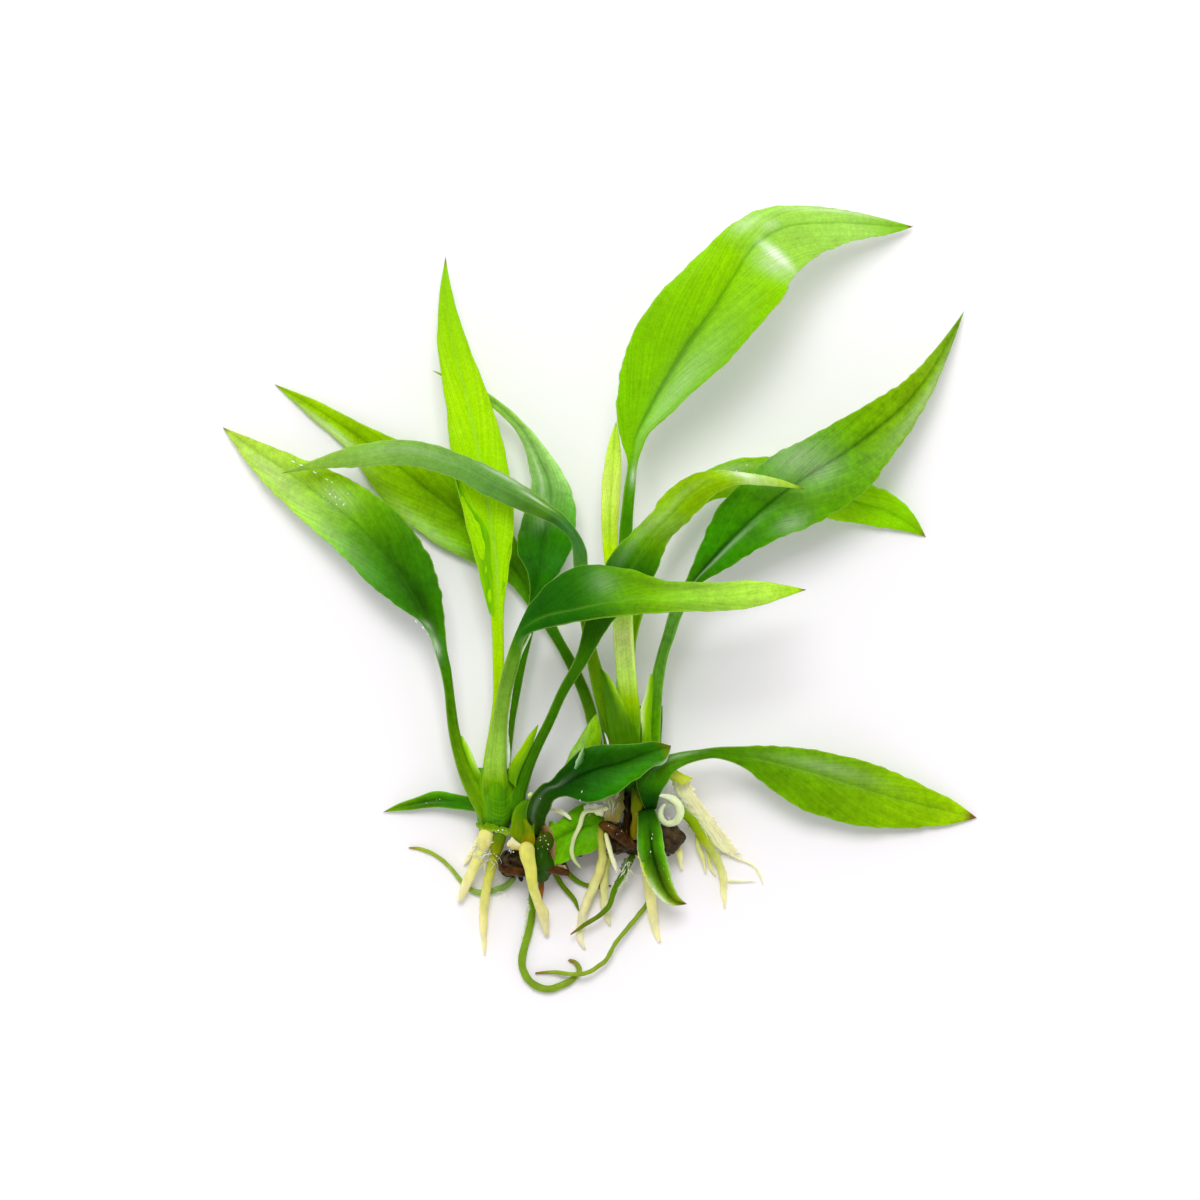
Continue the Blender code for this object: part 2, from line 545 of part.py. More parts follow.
def material(name, colour, roughness):
    """A Principled material of one colour."""
    made = bpy.data.materials.get(name)
    if made is None:
        made = bpy.data.materials.new(name)
        made.use_nodes = True
        shader = made.node_tree.nodes["Principled BSDF"]
        shader.inputs["Base Color"].default_value = (*colour, 1.0)
        shader.inputs["Roughness"].default_value = roughness
        shader.inputs["Metallic"].default_value = 0.0
    return made


def smooth_rows(rows, spacing):
    """Rows read at even steps from a smooth curve through the given ones.

    The curve is a cubic between neighbours, and its slope at each row is that of the parabola through
    the row and the two beside it. The last three columns are the place of the middle line.
    """
    rows = np.array(rows, float)
    steps = np.linalg.norm(np.diff(rows[:, -3:], axis=0), axis=1)
    at = np.concatenate(([0.0], np.cumsum(steps)))
    chords = np.diff(rows, axis=0) / steps[:, None]
    slopes = np.empty_like(rows)
    before, after = steps[:-1, None], steps[1:, None]
    slopes[1:-1] = (chords[:-1] * after + chords[1:] * before) / (before + after)
    slopes[0] = 1.5 * chords[0] - 0.5 * slopes[1] if len(rows) > 2 else chords[0]
    slopes[-1] = 1.5 * chords[-1] - 0.5 * slopes[-2] if len(rows) > 2 else chords[-1]
    count = max(3, round(at[-1] / spacing) + 1)
    places = np.linspace(0.0, at[-1], count)
    span = np.clip(np.searchsorted(at, places, side="right") - 1, 0, len(steps) - 1)
    length = steps[span][:, None]
    t = ((places - at[span]) / steps[span])[:, None]
    start, end = rows[span], rows[span + 1]
    leave, arrive = slopes[span] * length, slopes[span + 1] * length
    return (
        start * (2 * t**3 - 3 * t**2 + 1)
        + leave * (t**3 - 2 * t**2 + t)
        + end * (3 * t**2 - 2 * t**3)
        + arrive * (t**3 - t**2)
    )


def skin(name, rings, tip, colour, roughness):
    """One closed body through rings of points, with a flat cap first and a point or a cap last."""
    bm = bmesh.new()
    loops = [[bm.verts.new(np.array(point) * MM) for point in ring] for ring in rings]
    for one, two in zip(loops, loops[1:]):
        count = len(one)
        for i in range(count):
            j = (i + 1) % count
            bm.faces.new((one[i], one[j], two[j], two[i]))
    bm.faces.new(loops[0])
    if tip is None:
        bm.faces.new(loops[-1])
    else:
        end = bm.verts.new(np.array(tip) * MM)
        last = loops[-1]
        for i in range(len(last)):
            bm.faces.new((last[i], last[(i + 1) % len(last)], end))
    bmesh.ops.recalc_face_normals(bm, faces=bm.faces)
    mesh = bpy.data.meshes.new(name)
    bm.to_mesh(mesh)
    bm.free()
    mesh.shade_smooth()
    mesh.set_sharp_from_angle(angle=math.radians(50))
    mesh.materials.append(material(f"{name} surface", colour, roughness))
    made = bpy.data.objects.new(name, mesh)
    bpy.context.collection.objects.link(made)
    return made


def leaf_rows(leaf):
    """Stalk and blade rows in one form: left edge, right edge, depth, middle."""
    stalk = np.array(leaf["stalk"], float).reshape(-1, 5)
    blade = leaf["blade"]
    middles = [row[:3] for row in stalk]
    middles += [np.array(row[1] if np.ndim(row) == 2 else row) for row in blade]
    rows = []
    for i, middle in enumerate(middles):
        if i < len(stalk):
            ahead = middles[min(i + 1, len(middles) - 1)] - middles[max(i - 1, 0)]
            side = np.array((ahead[1], -ahead[0], 0.0))
            side *= stalk[i, 3] / 2 / np.linalg.norm(side)
            left, right, depth = middle - side, middle + side, stalk[i, 4]
        else:
            left, _, right = map(np.array, blade[i - len(stalk)])
            depth = BLADE_THICKNESS
        rows.append(np.concatenate((left, right, (depth,), middle)))
        if i + 2 == len(middles) and blade:
            break
    return rows, (middles[-1] if blade else None)


def unit(vectors):
    """Each vector at length 1."""
    return vectors / np.linalg.norm(vectors, axis=-1, keepdims=True)


def make_leaf(name, leaf):
    """A leaf: eight points round each section, an oval on the stalk and a thin lens on the blade."""
    rows, tip = leaf_rows(leaf)
    table = smooth_rows(rows, RING_SPACING)
    left, right, depth, middle = table[:, :3], table[:, 3:6], table[:, 6:7], table[:, 7:]
    along = np.gradient(middle, axis=0)
    up = unit(np.cross(right - left, along))
    half = np.clip(depth, 0.5, None) / 2
    swell = BLADE_CAMBER * np.linalg.norm(right - left, axis=1, keepdims=True)
    inner_left = (left + middle) / 2 + up * swell / 2
    inner_right = (right + middle) / 2 + up * swell / 2
    ring = np.stack(
        (
            left,
            inner_left + up * half * 0.87,
            middle + up * half,
            inner_right + up * half * 0.87,
            right,
            inner_right - up * half * 0.87,
            middle - up * half,
            inner_left - up * half * 0.87,
        ),
        axis=1,
    )
    return skin(name, ring, tip, leaf["colour"], SATIN)


def make_crown(name, rows, colour):
    """A swelling that lies along Y, with oval sections of twelve points."""
    angles = np.radians(np.arange(0, 360, 30))
    rings = []
    for x, y, half_width, low, high in rows:
        middle, half_height = (low + high) / 2, (high - low) / 2
        rings.append(
            np.stack(
                (
                    x + half_width * np.cos(angles),
                    np.full(angles.shape, y),
                    middle + half_height * np.sin(angles),
                ),
                axis=1,
            )
        )
    return skin(name, rings, None, colour, SATIN)


def make_rhizome():
    """The creeping stem: sections across it with a round back on a flat foot."""
    table = np.array(RHIZOME)
    along = unit(np.gradient(table[:, :2], axis=0))
    across = np.stack((-along[:, 1], along[:, 0]), axis=1)
    angles = np.radians((-12, 30, 65, 90, 115, 150, 192))
    rings = []
    for (x, y, half_width, height), side in zip(table, across):
        offset = half_width * np.cos(angles)
        level = height * (0.35 + 0.65 * np.sin(angles))
        foot = np.array((-RHIZOME_FOOT / 2, RHIZOME_FOOT / 2))
        offset = np.concatenate((offset, foot))
        level = np.concatenate((level, (0.0, 0.0)))
        rings.append(np.stack((x + side[0] * offset, y + side[1] * offset, level), axis=1))
    return skin("rhizome", rings, None, RHIZOME_BROWN, WET)


def make_root(name, rows, spacing, colour):
    """A root: a bevelled curve whose points carry the radius."""
    table = smooth_rows([(row[3], *row[:3]) for row in rows], spacing)
    curve = bpy.data.curves.new(name, "CURVE")
    curve.dimensions = "3D"
    curve.bevel_depth = MM
    curve.bevel_resolution = 1
    curve.use_fill_caps = True
    line = curve.splines.new("POLY")
    line.points.add(len(table) - 1)
    for point, (radius, *place) in zip(line.points, table):
        point.co = (*(np.array(place) * MM), 1.0)
        point.radius = radius
    curve.materials.append(material(f"{name} surface", colour, SATIN))
    made = bpy.data.objects.new(name, curve)
    bpy.context.collection.objects.link(made)
    return made


def curled_root_rows():
    """The curled root: an arc that rises a little as it turns."""
    x, y, z = CURLED_ROOT_MIDDLE
    turns = np.radians(np.linspace(*CURLED_ROOT_TURN, 12))
    thickness = np.linspace(CURLED_ROOT_THICKNESS, CURLED_ROOT_THICKNESS / 2, len(turns)) / 2
    rise = np.linspace(0.0, 1.0, len(turns))
    return [
        (x + CURLED_ROOT_RADIUS * math.cos(a), y + CURLED_ROOT_RADIUS * math.sin(a), z + up, r)
        for a, up, r in zip(turns, rise, thickness)
    ]


def main():
    clear_scene()
    for name, leaf in LEAVES.items():
        make_leaf(name, leaf)
    for name, rows in CROWNS.items():
        make_crown(name, rows, GREEN)
    make_rhizome()
    for name, rows in ROOTS.items():
        make_root(name, rows, ROOT_SPACING, ROOT_YELLOW)
    make_root("root_right_curled", curled_root_rows(), 1.0, ROOT_YELLOW)
    for name, rows in THREADS.items():
        make_root(name, rows, THREAD_SPACING, ROOT_GREEN)


main()
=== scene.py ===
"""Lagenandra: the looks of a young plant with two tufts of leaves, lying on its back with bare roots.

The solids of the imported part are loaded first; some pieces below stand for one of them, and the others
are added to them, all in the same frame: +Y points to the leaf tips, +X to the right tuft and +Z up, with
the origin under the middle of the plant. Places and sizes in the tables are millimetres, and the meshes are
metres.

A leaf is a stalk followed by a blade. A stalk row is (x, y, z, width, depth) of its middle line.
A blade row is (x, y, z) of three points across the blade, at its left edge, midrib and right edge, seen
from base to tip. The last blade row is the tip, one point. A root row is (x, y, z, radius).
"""

import json
import math

import bpy
import numpy as np
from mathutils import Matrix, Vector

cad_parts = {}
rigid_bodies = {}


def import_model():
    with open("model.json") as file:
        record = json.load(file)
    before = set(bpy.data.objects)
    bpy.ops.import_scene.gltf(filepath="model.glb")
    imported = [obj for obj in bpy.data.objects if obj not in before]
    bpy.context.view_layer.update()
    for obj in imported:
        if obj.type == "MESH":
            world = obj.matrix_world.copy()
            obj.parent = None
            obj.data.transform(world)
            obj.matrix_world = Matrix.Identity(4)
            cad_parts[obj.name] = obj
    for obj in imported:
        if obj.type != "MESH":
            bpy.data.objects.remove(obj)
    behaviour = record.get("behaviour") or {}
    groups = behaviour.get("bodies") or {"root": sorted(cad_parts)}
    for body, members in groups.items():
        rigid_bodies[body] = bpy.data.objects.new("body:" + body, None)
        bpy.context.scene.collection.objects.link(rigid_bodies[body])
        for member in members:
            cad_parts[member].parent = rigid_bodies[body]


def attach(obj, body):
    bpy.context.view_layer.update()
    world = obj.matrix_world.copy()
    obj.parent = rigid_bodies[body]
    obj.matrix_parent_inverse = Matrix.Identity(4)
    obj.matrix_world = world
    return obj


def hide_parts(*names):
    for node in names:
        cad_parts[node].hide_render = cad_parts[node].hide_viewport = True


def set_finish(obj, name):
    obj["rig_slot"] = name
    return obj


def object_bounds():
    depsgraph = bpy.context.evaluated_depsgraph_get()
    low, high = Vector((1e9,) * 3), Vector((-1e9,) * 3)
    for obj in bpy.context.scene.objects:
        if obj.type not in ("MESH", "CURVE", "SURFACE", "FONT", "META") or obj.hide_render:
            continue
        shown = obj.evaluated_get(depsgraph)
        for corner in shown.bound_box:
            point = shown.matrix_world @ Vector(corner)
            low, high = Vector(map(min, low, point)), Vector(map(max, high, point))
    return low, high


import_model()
cad_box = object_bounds()

bl_info = {
    "name": "Lagenandra",
    "version": (1, 0, 0),
    "blender": (4, 5, 0),
    "location": "View3D > Sidebar > Lagenandra",
    "description": "Makes the leaves, crowns, rhizome and roots of a bare rooted lagenandra",
    "category": "Object",
}

MM = 0.001
LOWEST = 0.02  # millimetres over the surface that nothing goes below
BLADE_COLUMNS = 14  # of the mesh, on each half of a blade
SHEET_STEP, SHEET_COLUMNS = 0.3, 13  # millimetres between the rows of a sheet's mesh, and points across it
CROWN_ROWS, CROWN_COLUMNS = 130, 80  # of a crown's mesh
STUB_STEP, FIBRE_STEP, BARK_STEP = 0.2, 0.3, 0.22  # millimetres between the rows of these meshes
BARK_AROUND, STUB_AROUND, ROOT_AROUND, THREAD_AROUND, FIBRE_AROUND = 60, 24, 20, 12, 6  # points round them
# where the seeds of the ripples start for each kind of piece
FLAKE_SEED, CHUNK_SEED, ROOT_SEED, THREAD_SEED, FLAT_ROOT_SEED, STUB_SEED = 20, 24, 40, 60, 71, 80
TISSUE_IOR = 1.42  # of wet plant tissue
DAYLIGHT = (0.5, 1.0, 0.15)  # how far red, green and blue light travels in green tissue

# Each leaf: its stalk's rows and its blade's rows.
LEAVES = {
    "leaf_left_outer": ([(-18.6, -36.9, 5.2, 2.2, 1.8), (-20, -33.4, 6.3, 2.9, 2.2),
        (-22, -29.5, 6.4, 2.5, 2.1), (-23.3, -25.8, 6.6, 2.15, 1.9), (-24.2, -22.2, 7, 1.9, 1.8),
        (-24.7, -18.7, 7.6, 1.75, 1.7), (-25.1, -15, 8.2, 1.6, 1.6), (-25.7, -11.3, 8.8, 1.85, 1.5),
        (-26.4, -8.5, 9.2, 2.1, 1.4)], [(-28.7, -5.3, 9.2, -27.2, -6, 9.4, -25.7, -5, 9.6),
        (-33.8, -1, 8.8, -30.5, 0, 9.3, -26.5, 1.7, 10.3),
        (-38, 2.3, 7.8, -33.5, 4.8, 8.8, -28.3, 7.3, 10.2), (-43.3, 7.8, 6.8, -39, 11.2, 7.9, -34, 15, 9.6),
        (-49.5, 13.2, 5.4, -45.8, 16.8, 6.3, -41.5, 20, 8),
        (-55.8, 19.3, 3.6, -52.5, 21.7, 4.2, -49, 23.3, 5.4),
        (-59.7, 24.2, 1.9, -58.3, 25.5, 2, -57, 26.5, 2.5), (-62.9, 28.8, 0.5)]),
    "leaf_left_upright": ([(-18.6, -31.5, 3.2, 2.4, 1.8), (-18.3, -27.2, 3.8, 2.3, 1.7),
        (-17.6, -21.7, 4.8, 1.8, 1.6), (-17, -16.7, 6, 1.7, 1.5), (-16.9, -10, 7.5, 1.9, 1.3)], [
        (-18.3, -1.8, 8.8, -17, -1.8, 8.6, -16, -1.8, 8.8),
        (-20.7, 6.7, 9.8, -17.3, 7, 9.2, -14.8, 7.3, 9.8),
        (-22.5, 13.5, 10.2, -18.3, 13.7, 9.4, -14.3, 14, 10),
        (-24.2, 20.5, 10.2, -19.5, 20.8, 9.4, -15, 21.3, 10),
        (-25, 26.8, 10, -20.7, 27.2, 9.2, -16.5, 27.5, 9.8), (-26, 34.8, 9.7, -22.5, 35, 9, -19, 35.3, 9.5),
        (-27, 42.8, 9, -24.5, 42.8, 8.5, -22, 42.8, 8.9), (-26.8, 50, 7.5, -25.6, 50, 7.2, -24.3, 50, 7.4),
        (-25.7, 57.2, 5)]),
    "leaf_left_front": ([(-17.1, -34.4, 6.4, 3.6, 2), (-17.4, -30.5, 8, 4.4, 2.3),
        (-17.4, -28.3, 8.9, 3.8, 2.4), (-17.2, -25.2, 10, 3.2, 2.3), (-16.8, -21.7, 11.6, 2.7, 2.2),
        (-16.1, -16.7, 14, 2.35, 2.1), (-14.5, -10.3, 18.5, 2.4, 1.9)], [
        (-13.6, -4.6, 21.6, -13.2, -5.4, 22.2, -12, -5.9, 22.6),
        (-11, 0.2, 23, -9.2, -2.7, 24.6, -8, -4.5, 25),
        (-6.8, 4.2, 23.2, -4.8, -1.7, 26.6, -3.8, -3.7, 27.2),
        (-1.8, 5.8, 23.2, 0, -0.7, 27.6, 0.8, -3, 28.4), (4.2, 5.2, 23.8, 5.8, 0.2, 27.8, 6.7, -2.5, 28.6),
        (10.8, 3.3, 24.6, 12, 0.3, 27.4, 13, -2, 28), (18.3, 3, 24.6, 19.3, 0.5, 26.4, 20, -1.8, 27),
        (25.8, 3.2, 23.6, 26.2, 1, 24.6, 26.3, -1, 25), (30.5, 2.5, 22.2, 30.7, 1.5, 22.6, 30.8, 0.5, 22.8),
        (34.2, 1.7, 20.6)]),
    "leaf_left_back": ([(-16.2, -32.7, 2.8, 1.8, 1.6), (-15.4, -24.2, 3.6, 1.6, 1.4),
        (-14.9, -20, 4.2, 1.6, 1.4), (-14.3, -16.7, 4.8, 1.6, 1.4), (-13, -10, 5.5, 1.6, 1.3),
        (-11.7, -4, 6, 1.8, 1.2)], [(-11.8, 0, 6.4, -11, 0.4, 6.2, -9.8, 1.2, 6.5),
        (-12, 4.2, 6.9, -9.8, 5, 6.4, -6.7, 4.7, 7.2), (-13.8, 8.3, 7.2, -9.5, 9.2, 6.6, -4.5, 9.2, 7.6),
        (-13.2, 12.5, 7.3, -8.5, 13.7, 6.8, -4, 14.2, 7.8),
        (-11.5, 18, 7.2, -8.2, 18.3, 6.8, -4.8, 18.3, 7.8), (-12, 23.3, 7, -10, 23.3, 6.6, -7.8, 23.5, 7.4),
        (-14, 28, 6.6, -12.9, 28.3, 6.4, -11.8, 28.6, 6.8),
        (-18.2, 32.2, 6.1, -17.6, 32.8, 6, -17.1, 33.4, 6.2),
        (-24.3, 36, 5.1, -24.2, 36.5, 5, -24, 37, 5.1), (-28, 38.2, 4.2)]),
    "leaf_left_crossing": ([(-14.6, -36.6, 5.4, 2.2, 1.9), (-13.7, -34, 6.8, 2.4, 2),
        (-13.3, -31.7, 7.5, 2.3, 2.1), (-12.6, -29.5, 8.1, 2.1, 2.1), (-11.15, -25.8, 9.3, 1.85, 1.9),
        (-9.95, -23.3, 10.3, 1.7, 1.8), (-8.6, -20.6, 11.4, 1.65, 1.7), (-6.15, -15.2, 13.9, 1.7, 1.6),
        (-2.9, -9.6, 16.6, 2.3, 1.5)], [(-2.3, -2.6, 18.4, -0.3, -3.3, 18.6, 1.8, -4, 18.4),
        (-0.7, 2, 19.2, 2.8, 1.7, 19.9, 6.7, 1.3, 19.4), (1.7, 7.3, 19.8, 5.8, 6.3, 20.6, 9.5, 4.8, 20),
        (5.2, 11.2, 20.2, 8.3, 10.5, 21.2, 11.2, 9.5, 20.4),
        (8.7, 14.8, 20.6, 12, 14.3, 21.6, 15, 13.3, 20.8),
        (11.3, 18.3, 20.8, 14.7, 17.2, 21.9, 17.7, 16.2, 21),
        (15.3, 20.8, 20.8, 17.7, 19.3, 22, 19.7, 17.8, 21),
        (19.3, 21.5, 20.4, 21.2, 20.3, 21.4, 22.5, 19, 20.6),
        (25, 21, 19.6, 25.7, 20, 20.2, 26.2, 19, 19.6), (29.8, 20, 18, 30, 19.4, 18.3, 30.2, 18.7, 18),
        (34.2, 18.3, 16.2)]),
    "leaf_left_torn": ([(-10.3, -39.2, 6.2, 1.2, 1.2), (-10.4, -37.6, 7.2, 2.4, 1.5),
        (-10.6, -35.7, 8.6, 3.5, 1.7), (-9.9, -33.8, 9.8, 3.9, 1.7), (-8.6, -31.9, 11.1, 3.4, 1.5)], [
        (-8.2, -30, 12, -6.3, -31, 12, -5.6, -32.6, 12.2),
        (-6, -27.4, 12.8, -3.8, -29.5, 12.4, -2.3, -33.6, 13.4),
        (-2.6, -24.6, 13.4, -0.3, -28, 12.8, 1.5, -32.8, 13.8),
        (1.3, -24, 13.6, 3.7, -27, 13, 5.3, -30.3, 13.8), (6, -23.8, 13.6, 7, -25.7, 13.2, 8.5, -28, 13.6),
        (9.8, -23.6, 13.2, 10.6, -24.6, 13, 11.3, -26.2, 13.2), (11.8, -24.2, 12.8)]),
    "leaf_left_low": ([(-20.4, -34.1, 4.2, 2.3, 1.4)], [
        (-24.2, -34.8, 2.9, -24.2, -33.5, 2.6, -24.2, -32.3, 3.1),
        (-27.3, -34.5, 2.3, -27.3, -33.3, 2, -27.3, -31.8, 2.7),
        (-31.3, -35, 1.5, -31.2, -34, 1.3, -31, -33, 1.7),
        (-34.3, -35.2, 0.9, -34.3, -34.7, 0.8, -34.2, -34.2, 1), (-36.2, -35.4, 0.5)]),
    "leaf_right_crossing_low": ([(-0.6, -24.7, 3, 2.1, 1.8), (-1.6, -18.6, 3.2, 2, 1.6),
        (-4.4, -11.4, 3, 1.9, 1.4), (-7.8, -5.2, 2.6, 1.9, 1.2)], [
        (-11.7, -1.4, 2.2, -10.3, -1, 1.9, -9, 0.2, 2.3), (-15.2, 2.8, 1.9, -14, 5, 1.2, -12.5, 7.3, 2.2),
        (-21, 6.2, 2.2, -18.8, 9.8, 0.7, -16.2, 13.3, 2.2),
        (-27, 9.2, 2.2, -24, 14.7, 0.45, -21.2, 19.3, 2), (-32.7, 13.5, 2, -30, 19.3, 0.45, -28, 24, 1.9),
        (-37.2, 18, 1.8, -35.7, 23.8, 0.5, -34, 26.8, 1.8),
        (-41.8, 24.7, 1.5, -41.2, 27.8, 0.6, -40, 29.5, 1.5),
        (-47.8, 30, 1.1, -47.3, 31.8, 0.6, -46.3, 32.8, 1.1), (-54.3, 36, 0.5)]),
    "leaf_right_crossing_high": ([(3.2, -27, 6.4, 3.4, 2.2), (2.8, -23.3, 7.1, 3.2, 2.2),
        (1.4, -19.3, 8, 3, 2.2), (0.1, -15, 8.9, 2.7, 2.1), (-0.85, -11.3, 9.9, 2.25, 1.9),
        (-1.6, -7.8, 11, 1.9, 1.8), (-2.7, 0, 13.4, 2.2, 1.5), (-3.2, 5.6, 15, 2.4, 1.3)], [
        (-4.8, 9.4, 15.8, -3.3, 8.9, 16.2, -2.3, 8.5, 15.9),
        (-7.9, 12.6, 16.2, -6.5, 13.2, 16.8, -5.3, 13.4, 16.2),
        (-12.5, 14.5, 16.2, -10.5, 15.7, 17.2, -9.2, 16.6, 16.4),
        (-18.7, 17.2, 16, -16.7, 18.8, 17.2, -15, 20.5, 16.4),
        (-24.2, 20.2, 15.8, -23.2, 22.2, 16.8, -22.5, 24, 16),
        (-32.5, 22.3, 14.8, -32, 24.7, 15.6, -31.3, 26.5, 14.8),
        (-40.7, 22, 13, -40.7, 23.8, 13.6, -40.5, 25.7, 13),
        (-47, 21.7, 11.1, -47.3, 22.5, 11.4, -47.5, 23.3, 11.2), (-53, 21, 9.4)]),
    "leaf_right_top": ([(4.5, -24.7, 8.2, 4.2, 2.2), (4.7, -19.7, 9.4, 4.1, 2.2),
        (4.4, -13.3, 10.7, 3.4, 2.1), (3.8, -3.2, 12.2, 3.4, 1.9), (4.2, 4.2, 12.9, 2.8, 1.8),
        (4.3, 11.3, 13.6, 2.2, 1.7), (4.9, 18.3, 14.6, 1.9, 1.5)], [
        (4.5, 23.2, 15.6, 5.3, 23, 15.6, 6.4, 23.2, 15.6),
        (3.4, 26.7, 16.6, 5.7, 26.3, 16.4, 7.7, 26.7, 16.6), (2.7, 32, 18.2, 8, 31.3, 17.6, 11.3, 30.5, 18),
        (3.5, 38.2, 20, 10.7, 36.3, 19, 16.5, 35.3, 19.6),
        (6.2, 45.7, 21.6, 14.5, 42.5, 20.2, 21.7, 40, 21),
        (11.3, 52.3, 22, 18.2, 47.5, 20.6, 26.2, 45.2, 21.2),
        (17.3, 58, 21.4, 21.8, 53, 20.2, 30.5, 50.3, 20.2),
        (21.7, 62.2, 19.6, 25.3, 58.3, 19, 31.8, 53.2, 18.4),
        (27.5, 65, 16.6, 30.5, 61.7, 16.4, 35.3, 56.5, 15.6),
        (34.7, 65.4, 12.4, 37, 62.5, 12.4, 39.7, 58.8, 11.6),
        (42.5, 64.5, 8, 43.3, 62.5, 7.6, 44.7, 60.2, 7.4), (48, 63.3, 4.2, 48.3, 62.2, 3.9, 48.8, 61, 3.9),
        (52.2, 62.2, 1.2)]),
    "leaf_right_rolled": ([(3.4, -24.7, 4.6, 1.6, 1.2), (3.6, -15, 6.2, 1.5, 1.2),
        (3.1, -3.3, 8, 1.6, 1.2)], [(0.7, 6.5, 9.6, 1.8, 6.5, 9, 2.8, 6.5, 9.5),
        (0.2, 15, 10.3, 1.7, 15, 9.6, 3.2, 15, 10.2), (0.5, 20.8, 10.7, 2.1, 20.8, 10, 3.5, 20.8, 10.6),
        (1.3, 25.7, 10.9, 2.4, 25.7, 10.4, 3.4, 25.7, 10.8), (2.7, 29.7, 10.6)]),
    "leaf_right_back": ([(5, -24.7, 4.2, 1.8, 1.4), (4.9, -11, 5.2, 1.6, 1.4), (5.4, -6, 5.9, 1.6, 1.4),
        (6.3, -2.5, 6.4, 1.6, 1.4), (7.5, 1.4, 6.8, 1.6, 1.3)], [
        (8.3, 7, 7.4, 9.1, 7, 7.2, 9.9, 6.8, 7.4), (11.7, 14.2, 8.2, 12.8, 13.5, 7.8, 13.9, 12.8, 8.2),
        (15.8, 20, 8.6, 17.4, 18.3, 8, 19.1, 16.7, 8.4), (21.7, 23.2, 8.6, 23.7, 20, 7.8, 25.3, 17, 8.2),
        (28.3, 23.8, 8, 29.7, 20.3, 7, 30, 16.7, 7.4), (36.7, 22.8, 6.6, 36.7, 18.8, 5.4, 36.2, 14, 6),
        (43.7, 19.7, 4.4, 42.7, 16.3, 3.2, 40.8, 13, 3.8),
        (49.2, 17.3, 2.4, 47.7, 14.8, 1.4, 46.2, 12.2, 1.8),
        (52.3, 14.2, 1.2, 51.3, 12.8, 0.7, 50.5, 11.5, 1), (54.3, 10.5, 0.4)]),
    "leaf_right_large": ([(8.9, -27.5, 5.6, 2.3, 2), (8.9, -23.7, 6.4, 2.2, 2),
        (9.05, -20, 7.2, 2.15, 2), (9.35, -15.8, 8, 2, 1.9), (9.65, -12.8, 8.6, 2.05, 1.8),
        (10.4, -9.2, 9.3, 1.9, 1.7), (11.5, -5.7, 9.8, 2, 1.7), (12.6, -2.2, 10.4, 2.2, 1.5)], [
        (14, 2.8, 11.2, 15.2, 2.7, 11, 16.4, 2.4, 11.2), (16.2, 8, 12.2, 18.7, 6.8, 11.6, 20.5, 4.8, 12.2),
        (18.7, 13.8, 13.2, 22.7, 11, 12.2, 24.7, 7.5, 13),
        (23, 19.2, 13.8, 27.5, 15.5, 12.4, 30.5, 10.5, 13.4),
        (28.7, 24, 13.8, 33.3, 19.8, 12.2, 37, 13.2, 13),
        (35.5, 27.5, 13.2, 39.7, 23.8, 11.6, 44.2, 18.3, 12.2),
        (42.5, 31.5, 11.8, 45.7, 28.2, 10.2, 48.8, 24.2, 10.6),
        (49.2, 35.5, 9.2, 51, 32.8, 8, 53, 30.2, 8.2), (54, 39.7, 6.2, 55.5, 38.7, 5.4, 56.7, 37.5, 5.6),
        (57.8, 44.3, 3.2, 58.4, 43.8, 3, 59, 43.3, 3.1), (60.7, 48.2, 1)]),
    "leaf_right_low": ([(8.5, -34.6, 8, 2, 1.4), (8.3, -32.8, 8.8, 3.2, 1.8), (8.2, -30.9, 9.5, 4.6, 2),
        (9.6, -28.9, 10.1, 4.4, 1.8), (11.6, -27.2, 10.4, 3.1, 1.6), (13.9, -26.3, 10.2, 2.3, 1.5),
        (16.7, -25.7, 9.8, 1.8, 1.4), (18.7, -25.4, 9.4, 1.8, 1.4)], [
        (23.7, -24.3, 8.6, 23.8, -26, 8.2, 23.5, -27.7, 8.6),
        (28.3, -24.2, 7.8, 28.7, -27, 7, 27.2, -30.5, 7.6),
        (34.2, -24.7, 6.8, 34.3, -28.5, 5.8, 31.9, -33.9, 6.4),
        (40.9, -26, 5.4, 40.5, -30.4, 4.2, 38.9, -36.7, 4.8),
        (47.6, -28, 3.8, 46.9, -32.4, 2.6, 46.2, -37.9, 3.2),
        (54.3, -31.1, 2.2, 53.7, -34.2, 1.3, 53.3, -37.9, 1.7),
        (58.9, -33.4, 1.2, 58.6, -35.4, 0.7, 58.3, -37.4, 1), (62.8, -36.3, 0.4)]),
    "leaf_right_hanging": ([(7.7, -35.1, 8.5, 3, 1.2)], [
        (10.2, -38, 11.4, 8.3, -38, 10.6, 6.2, -38, 11.4),
        (10.8, -41.7, 11, 8.7, -41.7, 10.2, 6.3, -41.7, 11),
        (11.7, -44.9, 9.6, 9.7, -45.3, 8.8, 7.3, -45.6, 9.6),
        (12.4, -47.8, 7.6, 11, -48.4, 7, 9.3, -49, 7.6),
        (13.5, -49.7, 5.6, 12.8, -50.2, 5.2, 12, -50.8, 5.6), (14.5, -50.6, 4.2)]),
    "leaf_right_old": ([(1.2, -36.6, 5.8, 2.4, 0.9)], [
        (-0.3, -41.2, 6.9, -0.8, -37.4, 6.4, -0.6, -34.3, 6.7),
        (-3.9, -42.8, 6.7, -3.6, -38, 6.1, -3.2, -34, 6.5),
        (-5.6, -43.5, 6.4, -5.6, -38.9, 5.9, -5.4, -35.4, 6.2),
        (-7.2, -43.9, 6.1, -7.6, -39.9, 5.7, -7.4, -37.2, 5.9),
        (-8.6, -43.4, 5.8, -8.9, -40.4, 5.6, -8.7, -37.8, 5.7), (-9.2, -40.6, 5.5)]),
